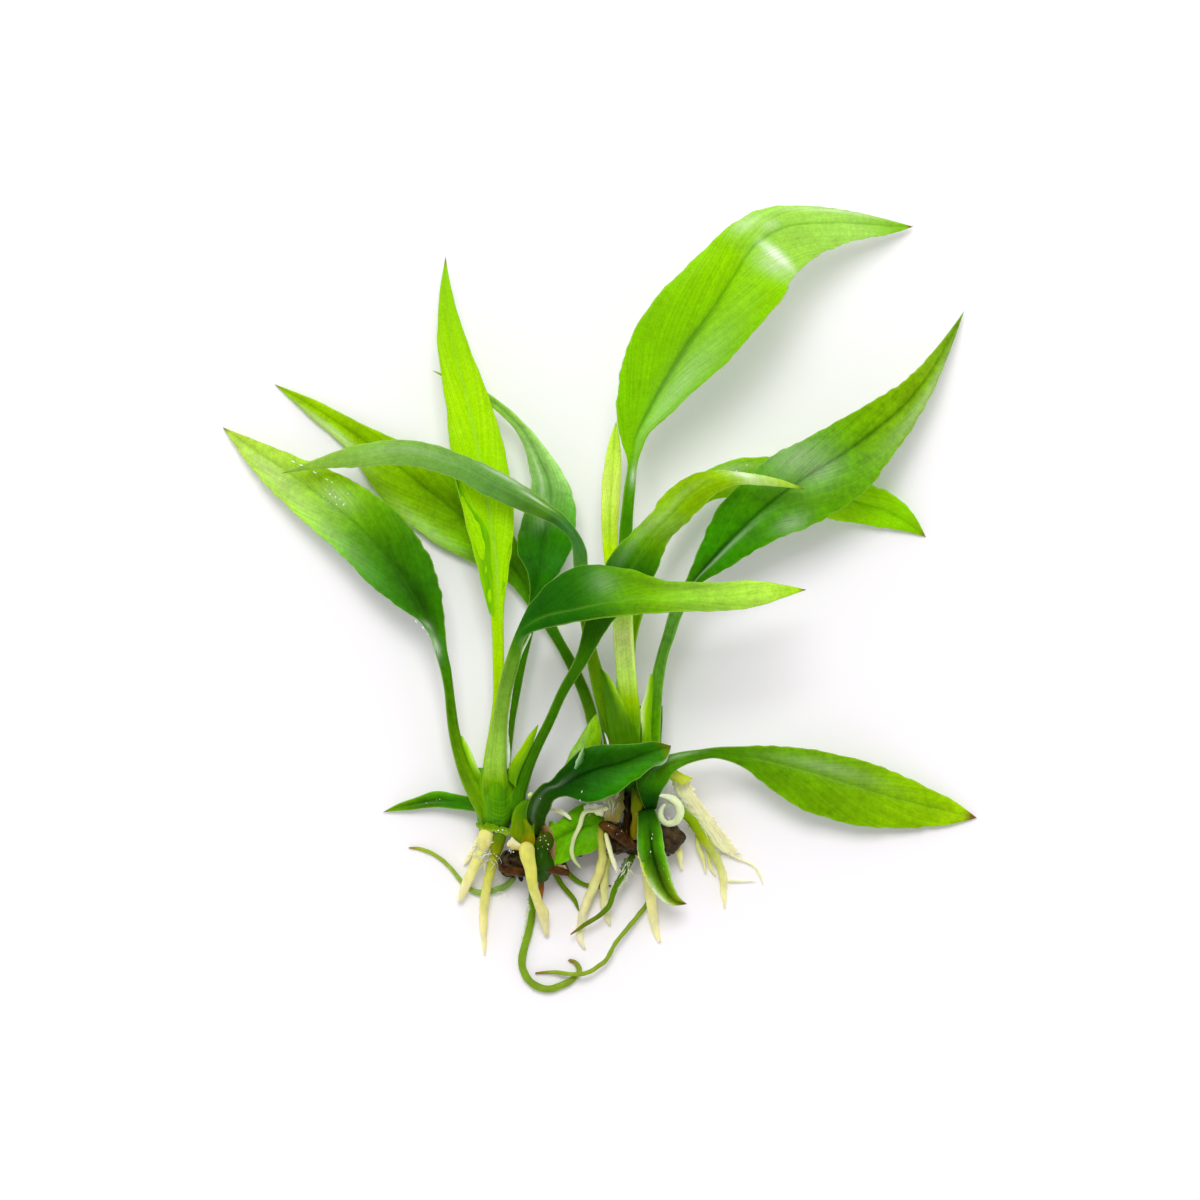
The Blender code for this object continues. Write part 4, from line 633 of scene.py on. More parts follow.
def leaf_material(name, tints):
    """Living leaf tissue, grown: a waxy skin over soft green flesh.

    The flesh passes some light, so the blade glows where it is thin; the skin gives a soft gloss, smoother
    where it is wet, and painted highlights make its colour pale there.
    """
    finish = FINISHES[name]
    made, tree, shader = new_material(f"living leaf {name}")
    share, across, margin, tip, shade, gloss_and_painted_sheen = (
        add(tree, "Attribute", attribute_name=key).outputs["Fac"]
        for key in ("share", "across", "margin", "tip", "shade", "gloss_and_painted_sheen")
    )
    grain = add(tree, "Attribute", attribute_name="grain").outputs["Vector"]
    where = add(tree, "TexCoord").outputs["Object"]
    place = add(tree, "MapRange", [("Value", share), ("From Min", -1.0), ("From Max", 1.0)])
    stops = [((s + 1) / 2, linear(h, tints.brightness)) for s, h in finish["tones"]]
    tone = add(tree, "ValToRGB", [("Fac", place.outputs["Result"])], stops).outputs["Color"]
    # veins a millimetre apart that leave the midrib at an acute angle, blotches of 4 mm and 1 mm, and cells
    streak, fibre, blotch, fleck, cells = (
        add(tree, "TexNoise", [("Vector", way), ("Scale", scale), ("Detail", detail)]).outputs["Fac"]
        for way, scale, detail in (
            (grain, 1.0, 3.0), (grain, 5.0, 2.0), (where, 260, 3.0), (where, 950, 2.0), (where, 2600, 1.0)
        )
    )
    light, total = None, 0.0
    blotchy = finish["mottle"]
    for noise, much in ((streak, 0.7), (blotch, 0.55 * blotchy), (fleck, 0.5 * blotchy), (cells, 0.35)):
        total += much / 2
        sums = [(0, noise), (1, much)] + ([(2, light)] if light else [])
        light = add(tree, "Math", sums, operation="MULTIPLY_ADD" if light else "MULTIPLY").outputs[0]
    light = add(tree, "Math", [(0, light), (1, 1 - total)], operation="ADD").outputs[0]
    # the spots of own tone and of painted shade and light darken and lighten the colour
    light = add(tree, "Math", [(0, light), (1, shade)], operation="MULTIPLY").outputs[0]
    tone = add(tree, "HueSaturation", [("Color", tone), ("Value", light), ("Saturation", 1.12)])
    tone = tone.outputs["Color"]
    # the midrib, half a millimetre wide, which fades out before the tip
    colour, strength = finish["rib"]
    near = add(tree, "Math", [(0, across), (1, across)], operation="MULTIPLY").outputs[0]
    near = add(tree, "Math", [(0, near), (1, -14.0)], operation="MULTIPLY").outputs[0]
    near = add(tree, "Math", [(0, near)], operation="EXPONENT").outputs[0]
    for first, last, low, high in ((-0.03, 0.1, 0.0, strength), (0.35, 0.85, 1.0, 0.25)):
        links = [("Value", share), ("From Min", first), ("From Max", last), ("To Min", low), ("To Max", high)]
        part = add(tree, "MapRange", links).outputs["Result"]
        near = add(tree, "Math", [(0, near), (1, part)], operation="MULTIPLY").outputs[0]
    layers = [(near, linear(colour, tints.brightness))]
    # a pale line along the margin, a fifth of a millimetre wide
    rim = add(tree, "MapRange", [("Value", margin), ("From Min", 0.22), ("From Max", 0.04), ("To Max", 0.4)])
    layers.append((rim.outputs["Result"], (*tints.margin, 1.0)))
    # painted highlight: pale fibres mixed into the colour where the wet skin shines
    pale = add(tree, "MapRange", [("Value", fibre), ("From Min", 0.36), ("From Max", 0.62), ("To Min", 0.25)])
    pale = add(tree, "Math", [(0, pale.outputs["Result"]), (1, gloss_and_painted_sheen)], operation="MULTIPLY", use_clamp=True)
    layers.append((pale.outputs[0], (*tints.painted_wet_highlight, 1.0)))
    # the dry tip, its edge ragged
    ragged = add(tree, "Math", [(0, blotch), (1, 1.5), (2, tip)], operation="MULTIPLY_ADD").outputs[0]
    brown = finish["brown"]
    links = [("Value", ragged), ("From Min", brown + 1.1), ("From Max", brown * 0.5 + 0.5)]
    layers.append((add(tree, "MapRange", links).outputs["Result"], (*tints.dry_tip, 1.0)))
    for much, colour in layers:
        tone = add(tree, "Mix", [(0, much), (6, tone), (7, colour)], data_type="RGBA").outputs[2]
    tree.links.new(tone, shader.inputs["Base Color"])
    flesh(shader, 0.42, 0.15, scale=0.0003)
    # the wet spots are smoother and shinier, where a film of water lies
    for socket, dull, wet in (("Roughness", 0.42, 0.2), ("Specular IOR Level", 0.05, 0.35)):
        links = [("Value", gloss_and_painted_sheen), ("From Max", 0.8), ("To Min", dull), ("To Max", wet)]
        tree.links.new(add(tree, "MapRange", links).outputs["Result"], shader.inputs[socket])
    relief = add(tree, "Math", [(0, streak), (1, 0.6), (2, fleck)], operation="MULTIPLY_ADD").outputs[0]
    bump = add(tree, "Bump", [("Height", relief), ("Strength", 0.4), ("Distance", 0.00015)])
    tree.links.new(bump.outputs["Normal"], shader.inputs["Normal"])
    return made


# Each crown, where its leaf bases grow together: the outline as (y, left x, right x, low z) and one ridge for
# each leaf base as (y, x, z, half width), all in millimetres. shades: lighter and darker spots, partly the
# sheaths' own tone and partly painted highlights and shade, as (x, y, reach in x, reach in y, how much).
# arcs: the middle line's x, how fast the edge of a leaf base climbs to its left and to its right, and the
# places on it where such edges bow across, each drawn with a painted highlight on the edge and a painted
# shade line below it.
CROWN_FORMS = {
    "crown_left": {"tone": 0.42, "arcs": (-16.4, 0.2, 0.5, (-33.6, -34.6, -35.1, -35.8, -36.5)),
        "outline": [(-27.9, -23.5, -11, 3.6), (-29.6, -23.2, -11.5, 2.2), (-31.5, -22, -12, 1.6),
            (-33.5, -21.2, -12.8, 1.2), (-35.5, -20.6, -14, 1.4), (-37.4, -20.3, -14.9, 1.8),
            (-38.7, -20, -15.3, 2.4)],
        "ridges": [
            [(-26, -23.2, 6.6, 1.1), (-29.5, -22, 6.6, 1.4), (-33, -20.2, 6.8, 1.9), (-36, -19, 6.7, 2),
                (-38.6, -18.2, 5.2, 1.8)],
            [(-26, -17.3, 9, 1.6), (-28.3, -17.4, 9.3, 2), (-31, -17.3, 9.2, 2.5), (-33.5, -17, 8.7, 2.5),
                (-36, -16.9, 7.9, 2.4), (-38.6, -17, 6.2, 2.2)],
            [(-26, -11.4, 8.2, 1.1), (-29.5, -12.5, 8.4, 1.4), (-32, -13.3, 8.1, 1.6),
                (-34.5, -14.2, 7.7, 1.9), (-36.5, -15, 7, 2), (-38.6, -16, 5.4, 1.8)]],
        "shades": [(-17.3, -26.5, 1.5, 3.4, 0.3), (-21, -34.4, 0.4, 1.3, 0.45), (-23.2, -29, 0.7, 3, -0.06),
            (-21.3, -27, 0.7, 1.8, 0.3), (-19.7, -29.6, 0.8, 1.4, 0.14), (-14.4, -28.4, 0.8, 1.6, 0.3),
            (-12.2, -30.5, 0.9, 3.5, -0.2), (-15.5, -29, 0.5, 2.2, -0.16), (-18, -32.2, 2.2, 1.6, 0.06),
            (-16.2, -32.6, 1.3, 1.6, -0.06), (-17.1, -36.7, 1, 0.3, -0.14), (-19.8, -32.6, 0.5, 2, 0.2),
            (-14.9, -32.4, 0.45, 2, 0.15), (-17.5, -38.6, 3, 0.5, 0.25), (-19.6, -35, 0.8, 1.6, 0.1),
            (-14.4, -34.6, 0.8, 1.8, -0.1)]},
    "crown_right": {"tone": 0.44, "arcs": (5.4, 0.5, 0.6, (-24.6, -26)),
        "outline": [(-17.6, -0.6, 10.4, 5), (-20, -0.1, 10.4, 4), (-23.5, 0.6, 10.2, 2),
            (-28, 1.2, 10.3, 1.3), (-31.5, 2.6, 9.8, 1.3), (-34.5, 3.6, 8.6, 1.5), (-36.8, 4.4, 7.6, 2.2)],
        "ridges": [
            [(-17, 0.8, 8.2, 1.4), (-20, 1.8, 8, 1.8), (-24, 3, 8, 2.2), (-28, 3.6, 8, 2.4),
                (-36.8, 5, 6, 1.8)],
            [(-17, 5, 7.6, 1.9), (-20, 5.4, 8, 2.1), (-24, 5.4, 8.6, 2.3), (-28, 5.2, 9, 2.4),
                (-36.8, 5.6, 6.2, 1.8)],
            [(-17, 8.2, 7, 1.3), (-20, 8.2, 7.4, 1.6), (-24, 8.2, 8.2, 2), (-28, 8, 8.2, 2.2),
                (-36.8, 6.4, 6, 1.6)]],
        "shades": [(1.2, -17.6, 0.9, 2.6, -0.22), (5.6, -20.6, 0.9, 2.4, 0.14),
            (7.8, -20.6, 0.5, 2.8, 0.26), (9.6, -21, 0.6, 4, -0.14), (3.4, -21.5, 0.8, 2, -0.04),
            (5, -34.5, 4, 3.2, -0.8)]},
}

# Thin sheets of tissue. rows: (x, y, z) of the left edge and of the right one. body: the thickness and how
# far the middle is raised. colours: from the left edge to the right one. end: what it becomes towards the
# last row as (colour, from, to). ragged: millimetres that its edges fray. clear: how dense a film is, less
# than 1 where it lets light through. slot: whose finish it has. replaces: the solid that it stands for.
SHEETS = {
    "wing_left_outer": {"body": (0.3, 0.25), "colours": ("#5E9E14", "#9CD040", "#C8EA80"),
        "end": ("#66A016", 0.5, 0.9), "slot": "crown",
        "rows": [(-23.2, -22.6, 7.2, -22.9, -22.6, 7.3), (-23.2, -24, 7.2, -22, -24, 7.4),
            (-22.9, -25.4, 7, -21.3, -25.4, 7.4), (-22.4, -27, 6.9, -20.6, -27.2, 7.2),
            (-21.9, -28.6, 6.8, -19.9, -28.6, 7.2), (-21, -30.8, 6.6, -18.9, -30.6, 7.2)]},
    "wing_left_crossing": {"body": (0.3, 0.25), "colours": ("#A8CC4C", "#88B820", "#5E9410"),
        "end": ("#5E9410", 0.55, 0.95), "slot": "crown",
        "rows": [(-10.35, -20.7, 11.6, -10.25, -20.8, 11.6), (-11.9, -22.5, 10.9, -10.8, -22.9, 11.1),
            (-13.3, -24.7, 10.1, -11.8, -25.2, 10.5), (-14.5, -26.5, 9.4, -12.8, -27.3, 9.9),
            (-15.1, -27.9, 9.1, -13.5, -28.9, 9.5), (-15.2, -30, 8.6, -14, -31.2, 9)]},
    "wing_right_high": {"body": (0.35, 0.15), "colours": ("#4E8010", "#3E7606", "#A0CC4C"),
        "end": ("#4A7E08", 0.3, 0.75), "slot": "crown",
        "rows": [(0.1, -11.4, 10.9, 0.6, -11.7, 10.9), (0.1, -13.2, 10.6, 1.9, -13.2, 11.2),
            (0.4, -15.2, 10.2, 2.9, -15.1, 11.7), (0.8, -17.2, 9.6, 3.8, -17, 11.8),
            (1.1, -19.6, 9.6, 5, -19.4, 11.6), (1.6, -22.2, 9.5, 6.3, -22.2, 11.2),
            (2, -24.4, 9.3, 6.8, -24.2, 10.9)]},
    "wing_right_large": {"body": (0.3, 0.2), "colours": ("#E4F2B0", "#9CCC34", "#6EAE12"),
        "end": ("#74AE18", 0.6, 0.9), "slot": "crown",
        "rows": [(8.2, -12.3, 9.4, 8.9, -12.3, 9.5), (7.8, -13.7, 9.3, 8.9, -13.7, 9.5),
            (7.5, -15.5, 9.2, 8.8, -15.5, 9.3), (6.95, -17.3, 9.2, 8.7, -17.3, 9.2),
            (6.6, -18.8, 9.3, 8.6, -18.8, 9.1), (6.9, -21, 9.2, 8.5, -21, 8.9), (7, -24, 9, 8.5, -24, 8.6)]},
    # a pale film; the nearly white colour at its right edge is a painted highlight
    "stalk_film": {"body": (0.15, 0.02), "colours": ("#8CB870", "#DCE8D0", "#F4F8EE"), "slot": "crown",
        "ragged": 0.05,
        "rows": [(-11.6, -5.4, 21.2, -11.3, -5.7, 20.8), (-13.15, -8.6, 18.9, -12.8, -8.8, 18.4),
            (-14.3, -12.4, 16.4, -13.95, -12.4, 15.8), (-15.05, -16.7, 13.6, -14.7, -16.7, 13.1),
            (-15.45, -20, 12, -15.1, -20, 11.5), (-15.6, -22.5, 11, -15.2, -22.5, 10.5),
            (-15.65, -24.4, 10.2, -14.95, -24.4, 9.7), (-15.6, -26.4, 9.6, -14.9, -26.4, 9.1),
            (-15.5, -28, 9.2, -15.1, -28, 8.8)]},
    "sheath_left_outer": {"body": (0.5, 0.5), "colours": ("#6E9A34", "#4A7E14", "#34660C"),
        "end": ("#7C9410", 0.3, 0.85), "slot": "crown", "replaces": "sheath_left",
        "rows": [(-12.4, -33.1, 8.1, -11.4, -33.1, 8.4), (-13.9, -34.3, 8, -11.2, -34.3, 8.6),
            (-14.6, -36, 7.7, -11, -36, 8.4), (-14.8, -38, 7.2, -10.9, -38, 8.1),
            (-14.95, -39.6, 6.9, -10.9, -39.4, 7.8), (-15, -40.9, 6.5, -11.1, -40.6, 7.4)]},
    "sheath_left_inner": {"body": (0.35, 0.3), "colours": ("#4A7608", "#7A8E10", "#6E8410"),
        "end": ("#A48A1C", 0.45, 0.95), "slot": "crown",
        "rows": [(-12.9, -36.4, 8.8, -12.4, -36.4, 8.9), (-12.9, -37.6, 8.6, -11.6, -37.4, 8.8),
            (-12.9, -38.9, 8.3, -11, -38.7, 8.5), (-13.1, -40.2, 7.9, -10.8, -40, 8.1),
            (-13.3, -41.2, 7.4, -11, -41, 7.6)]},
    "sheath_tip": {"body": (0.3, 0.15), "colours": ("#E0EAB0", "#C8DC70", "#A8C850"), "slot": "crown",
        "ragged": 0.1,
        "rows": [(-12.1, -32.3, 9.4, -11.6, -32.9, 9.4), (-11.5, -31.9, 9.6, -11.2, -32.8, 9.5),
            (-11.1, -32.1, 9.6, -10.9, -32.6, 9.5)]},
    "sheath_left_tag": {"body": (0.18, 0.2), "colours": ("#ECE6C8", "#DCD49C", "#B8AC60"),
        "slot": "root_pale", "ragged": 0.4,
        "rows": [(-15.5, -40.6, 7, -15.3, -41.4, 6.8), (-14.6, -39.7, 7.2, -14.4, -41.7, 6.9),
            (-13.6, -40.1, 7.4, -13.4, -41.5, 7.2), (-12.7, -40.6, 7.6, -12.7, -41.4, 7.4)]},
    "rim_left": {"body": (0.25, 0.12), "colours": ("#5E8C0C", "#7CA01C", "#B8CC68"), "slot": "crown",
        "ragged": 0.3,
        "rows": [(-20.6, -37, 6.2, -20.4, -38, 5.5), (-19.6, -37, 6.85, -19.4, -38.4, 5.9),
            (-18.5, -37.2, 7.2, -18.4, -38.9, 6.3), (-17.4, -37.3, 7.35, -17.2, -38.6, 6.7),
            (-16.3, -37.5, 7.35, -16, -39.1, 6.8), (-15.2, -37.7, 7.2, -15, -38.9, 6.7),
            (-14.7, -37.9, 7, -14.5, -38.6, 6.7)]},
    "film_torn": {"body": (0.12, 0.1), "colours": ("#B4CCA8", "#5E8A50", "#2E5E20"), "slot": "leaf_dark",
        "ragged": 0.15,
        "rows": [(-4.35, -27.9, 13.2, -3.9, -28.2, 13.4), (-3.9, -26.6, 13.6, -2.9, -27, 13.8),
            (-3.2, -25.2, 13.9, -2.5, -25.4, 14), (-2.75, -24.3, 14, -2.45, -24.4, 14)]},
    "bract_edge": {"body": (0.15, 0.05), "colours": ("#F0F6E4", "#F8FAF2", "#E0ECC8"), "slot": "crown",
        "rows": [(0.7, -22, 9.5, 0.9, -22.2, 9.4), (0.95, -23, 9.4, 1.3, -23, 9.3),
            (1.25, -24.2, 9.2, 1.6, -24.2, 9.1)]},
    "sheath_bit_right": {"body": (0.35, 0.3), "colours": ("#B4C44C", "#D8E06C", "#C8D84C"), "slot": "crown",
        "ragged": 0.15,
        "rows": [(11.3, -29.6, 8.2, 12.4, -28.2, 8.5), (12.6, -30.3, 7.8, 14.2, -29, 8.1),
            (13.8, -30.7, 7.4, 15.2, -29.5, 7.6), (14.6, -30.2, 7.2, 15.4, -29.7, 7.2)]},
    "tissue_right": {"body": (0.5, 0.5), "colours": ("#D8DAB8", "#A8A878", "#6E6A38"),
        "end": ("#8A7A40", 0.5, 1), "slot": "root_pale", "ragged": 0.3,
        "rows": [(1.4, -31.2, 7.6, 4, -30.8, 7.8), (0.4, -33.4, 7.9, 4, -33.4, 8.2),
            (0.5, -35.2, 8, 3.7, -35.4, 8.2), (0.9, -36.7, 7.9, 3.2, -37, 8)]},
    "crumbs_right": {"body": (0.3, 0.3), "colours": ("#F6F6E8", "#ECEED0", "#DCE0B4"), "slot": "root_pale",
        "ragged": 0.3,
        "rows": [(-2.7, -34.2, 8, -2.6, -34.9, 7.9), (-1.6, -33.8, 8.2, -1.4, -35.2, 8),
            (-0.6, -34, 8.3, -0.4, -35.9, 8.1), (0.4, -34.2, 8.2, 0.6, -35.4, 8)]},
    "fold_upright_left": {"body": (0.3, 0.3), "colours": ("#98D030", "#68AC00", "#74BC00"),
        "end": ("#7CC004", 0.5, 1), "slot": "leaf_pale",
        "rows": [(-24.05, 20.2, 10.6, -23.75, 20.2, 10.7), (-23.3, 17.2, 10.5, -22.5, 17.2, 10.8),
            (-22.7, 14.8, 10.4, -20.9, 14.8, 10.7), (-22.2, 12.7, 10.3, -19.4, 13, 10.4),
            (-21.5, 10, 10.2, -18.4, 10.4, 10.2), (-20.6, 7, 10.1, -18.2, 7, 10),
            (-19.7, 2.7, 9.7, -17.8, 2.7, 9.6), (-18.4, -2.2, 9.2, -17.7, -2.8, 9.2)]},
    "fold_upright_right": {"body": (0.3, 0.25), "colours": ("#94D418", "#7CC008", "#B0E050"),
        "slot": "leaf_pale",
        "rows": [(-14.9, 9.3, 10.3, -14.6, 9.7, 10.2), (-15.5, 7.4, 10.2, -14.7, 7.7, 10.1),
            (-16, 5.6, 9.9, -15.1, 5.8, 9.9), (-16.2, 3.6, 9.7, -15.3, 3.6, 9.7),
            (-16.3, 0.6, 9.3, -15.9, 0.6, 9.3)]},
    # the hanging leaf's pale margin, partly its own paler edge and partly a painted wet highlight
    "margin_hanging": {"body": (0.2, 0.1), "colours": ("#D8E0A0", "#9CBC34", "#5C9414"),
        "slot": "leaf_dark", "ragged": 0.22,
        "rows": [(6.2, -41.9, 11.2, 6.5, -41.8, 11.2), (6.7, -43.8, 10.6, 7.3, -43.5, 10.5),
            (7.3, -45.7, 9.85, 8.1, -45.4, 9.65), (8.2, -47.4, 8.9, 9.2, -46.9, 8.65),
            (9.3, -49.1, 7.85, 10.3, -48.4, 7.65), (10.7, -50.2, 6.7, 11.5, -49.5, 6.55),
            (12.1, -50.9, 5.8, 12.5, -50.4, 5.75)]},
    "rhizome_rim": {"body": (0.4, 0.4), "colours": ("#3A3414", "#6E5834", "#98825A"), "slot": "rhizome",
        "ragged": 0.25,
        "rows": [(-9.9, -37.7, 8.2, -9, -37.2, 8), (-9.2, -39.3, 8.6, -7.9, -38.5, 7.8),
            (-8.6, -41, 8.5, -7.4, -40.6, 7.4), (-8.4, -42.6, 8, -7.4, -42.6, 6.8),
            (-8.3, -43.9, 7, -7.8, -44, 6.2)]},
    "rhizome_film": {"body": (0.25, 0.3), "colours": ("#8A5C34", "#B49A70", "#D8D0B0"), "slot": "rhizome",
        "ragged": 0.2,
        "rows": [(-8.6, -43.4, 5.6, -7.9, -42.9, 5.6), (-7.6, -44.4, 4.8, -6.6, -43.8, 4.8),
            (-6.4, -45, 3.6, -5.8, -44.4, 3.6), (-5.4, -45.6, 2.6, -5.1, -45.2, 2.6)]},
    "film_thread_long": {"body": (0.12, 0.05), "colours": ("#E4ECD4", "#CCDCB0", "#A0BC68"),
        "slot": "root_green", "ragged": 0.25, "clear": 0.6,
        "rows": [(-11.7, -49, 1, -11.3, -49, 1.3), (-12.2, -51.6, 0.8, -11.5, -51.6, 1.2),
            (-12.7, -54.4, 0.7, -11.9, -54.6, 1.2), (-13.1, -57.6, 0.6, -12.6, -57.8, 1.1)]},
    "film_thread_right": {"body": (0.12, 0.15), "colours": ("#4E6E28", "#94A878", "#D4DCC0"),
        "slot": "root_green", "ragged": 0.45, "clear": 0.65,
        "rows": [(3.9, -43, 4.5, 5.6, -42.8, 4.3), (3.5, -45, 4.5, 5, -45.2, 4.2),
            (2.9, -46.6, 4.3, 4, -47, 4.1), (2.4, -48, 4.1, 2.9, -48.4, 3.9)]},
}

# The creeping stem as (x, y, half width, height), the flakes of bark on it as sheets, and one thick chunk.
RHIZOME = [(-17, -43.6, 1.6, 4.4), (-15, -43.8, 2.2, 5.6), (-12.4, -43.4, 2.5, 6.4), (-9.8, -42.5, 3.7, 7),
    (-7.6, -41.6, 3, 5), (-4.6, -40.6, 2, 4.2), (-0.8, -39.8, 1.9, 4.4), (2, -39.6, 2.3, 6.2),
    (5.6, -39.8, 2.5, 7), (9.4, -39.7, 2.4, 6.8), (12.4, -39.7, 2.3, 5.8), (13.6, -39.8, 1.6, 4.4)]
FLAKES = [
    [(0.4, -36.6, 8, -0.2, -37.6, 7.4), (2.2, -37.4, 8.6, 1.2, -38.9, 7.8),
        (4.2, -38.6, 8.4, 3, -40.2, 7.4), (6, -40.8, 7.6, 5.6, -41.6, 7)],
    [(-16.6, -43.8, 6.2, -16.4, -45, 5), (-14.4, -44.4, 7, -14.2, -45.8, 5.4),
        (-12.6, -44.6, 6.8, -12.8, -46, 5.4)],
    [(-9.2, -43.8, 7.4, -9, -45.2, 6.8), (-7.2, -44.2, 6.8, -7.4, -45.8, 6),
        (-5.2, -45, 5.4, -5.6, -45.8, 4.8)]]
CHUNK = [(10, -37.4, 6.8, 10.2, -41.2, 6.2), (11.2, -37.3, 6.9, 11.4, -42.1, 5.6),
    (12.4, -37.5, 6.2, 12.6, -41.7, 5), (13.5, -38.3, 5, 13.4, -40.4, 4.4)]

# Each root: its line as (x, y, z, radius) in millimetres, and its tones from its foot to its tip, where a
# fourth one is that of the very tip. Those that aren't in the plain solids have no node of their own.
ROOTS = {
    "root_left_1": ([(-19.8, -39.4, 3.4, 0.5), (-21.1, -41.6, 1.9, 0.5), (-22, -43.2, 1, 0.4),
        (-22.7, -44.2, 0.5, 0.15)], ("#F0EEA8", "#F2EEC0", "#F6F2C8")),
    "root_left_2": ([(-19.6, -41.2, 5.4, 0.8), (-20.6, -43.6, 4.4, 0.88), (-21.6, -45.8, 3.2, 0.86),
        (-22.5, -47.9, 2.2, 0.76), (-23.5, -50.2, 1.3, 0.45)], ("#E4E187", "#E8E498", "#EFE9B8")),
    "root_left_3": ([(-17.3, -41.2, 4.8, 0.85), (-17.8, -43.4, 3.8, 0.86), (-18.85, -47.8, 2.5, 0.78),
        (-19.4, -53.2, 1.3, 0.68), (-19.3, -56.8, 0.8, 0.42), (-19.2, -59.2, 0.5, 0.15)],
        ("#98A41C", "#D9D97A", "#EFE8B4")),
    "root_left_4": ([(-12.4, -40.2, 7.9, 1.35), (-12.1, -42.2, 8.5, 1.3), (-11.6, -44.4, 8.5, 1.12),
        (-11.1, -47.8, 7, 0.8), (-10.3, -50.2, 4.6, 0.8), (-9.6, -52, 3, 0.92), (-9.1, -54.4, 1.5, 0.62),
        (-8.8, -56, 0.8, 0.42)], ("#D4D078", "#D8D874", "#E8E0B0")),
    "root_left_5": ([(-9.7, -46.2, 3.4, 0.55), (-9.8, -48.4, 2.2, 0.42), (-9.9, -50.9, 0.9, 0.15)],
        ("#6A4424", "#8A5C34", "#A07848")),
    "root_right_1": ([(1.4, -34.6, 8.4, 0.4), (-0.6, -34.9, 8.4, 0.42), (-2.4, -35.2, 8.2, 0.4),
        (-3.4, -37.6, 7.8, 0.38), (-4.5, -40.2, 7.5, 0.36), (-4.7, -42, 7.4, 0.38), (-4.2, -43.4, 7, 0.3),
        (-3.1, -44.6, 6.6, 0.15)], ("#E4E8BC", "#DCE4B0", "#B8C490")),
    "root_right_2": ([(0.1, -37.4, 7, 0.5), (0.1, -39.6, 7, 0.62), (0.4, -42, 6, 0.7),
        (0.2, -44, 4.9, 0.75), (-0.9, -47.3, 2.9, 0.8), (-2.3, -50.6, 1.6, 0.76), (-3.2, -53.8, 0.9, 0.68),
        (-3.3, -56.6, 0.65, 0.5), (-2.4, -58.2, 0.45, 0.2)], ("#8C942C", "#E0DE90", "#ECE8C4")),
    "root_right_3": ([(1.4, -42.2, 3.6, 0.7), (0.9, -44.6, 3, 0.72), (0.7, -48.7, 1.8, 0.7),
        (1, -52.3, 0.9, 0.6), (1.75, -54.3, 0.5, 0.25)], ("#BCC460", "#E2E098", "#E8E6BC")),
    "root_right_4": ([(7.3, -42.4, 3.8, 0.8), (7.8, -45.3, 3, 0.88), (8.6, -50.6, 1.9, 0.85),
        (9.1, -54.4, 0.9, 0.66), (10, -57.1, 0.55, 0.22)], ("#D4D26C", "#EEEAA0", "#EEE8B8")),
    "root_right_6": ([(13.4, -34.4, 6.2, 0.6), (14.2, -35.8, 5.6, 0.72), (15.4, -36.9, 4.9, 0.76),
        (16.8, -39.2, 3.4, 0.75), (18.3, -41.3, 2.2, 0.72), (19.5, -43.3, 1.4, 0.7),
        (20.5, -46.3, 0.9, 0.62), (20.6, -48.6, 0.7, 0.48), (20.8, -51.4, 0.45, 0.15)],
        ("#6C9A18", "#A4B838", "#F0ECB4")),
    # lighter tones, painted light where this root lies in shadow
    "root_right_7": ([(13, -41.2, 3, 0.6), (13.3, -43, 1.8, 0.52), (13.65, -45, 0.7, 0.15)],
        ("#F0EC98", "#F2F0B0", "#F0EEC0")),
    "root_right_curled": ([(8.6, -32.4, 9.2, 0.08), (10.2, -32.5, 9, 0.3), (11.8, -32.9, 8.6, 0.55),
        (13, -34, 8, 0.7), (13.3, -35.6, 7.6, 0.7), (12.4, -36.9, 7.3, 0.62), (11, -37.1, 7.2, 0.55),
        (10.2, -36.2, 7.3, 0.5), (10.2, -34.8, 7.5, 0.45), (11, -33.8, 7.7, 0.2)],
        ("#ECF2DC", "#E0EABC", "#DDE6C0")),
}
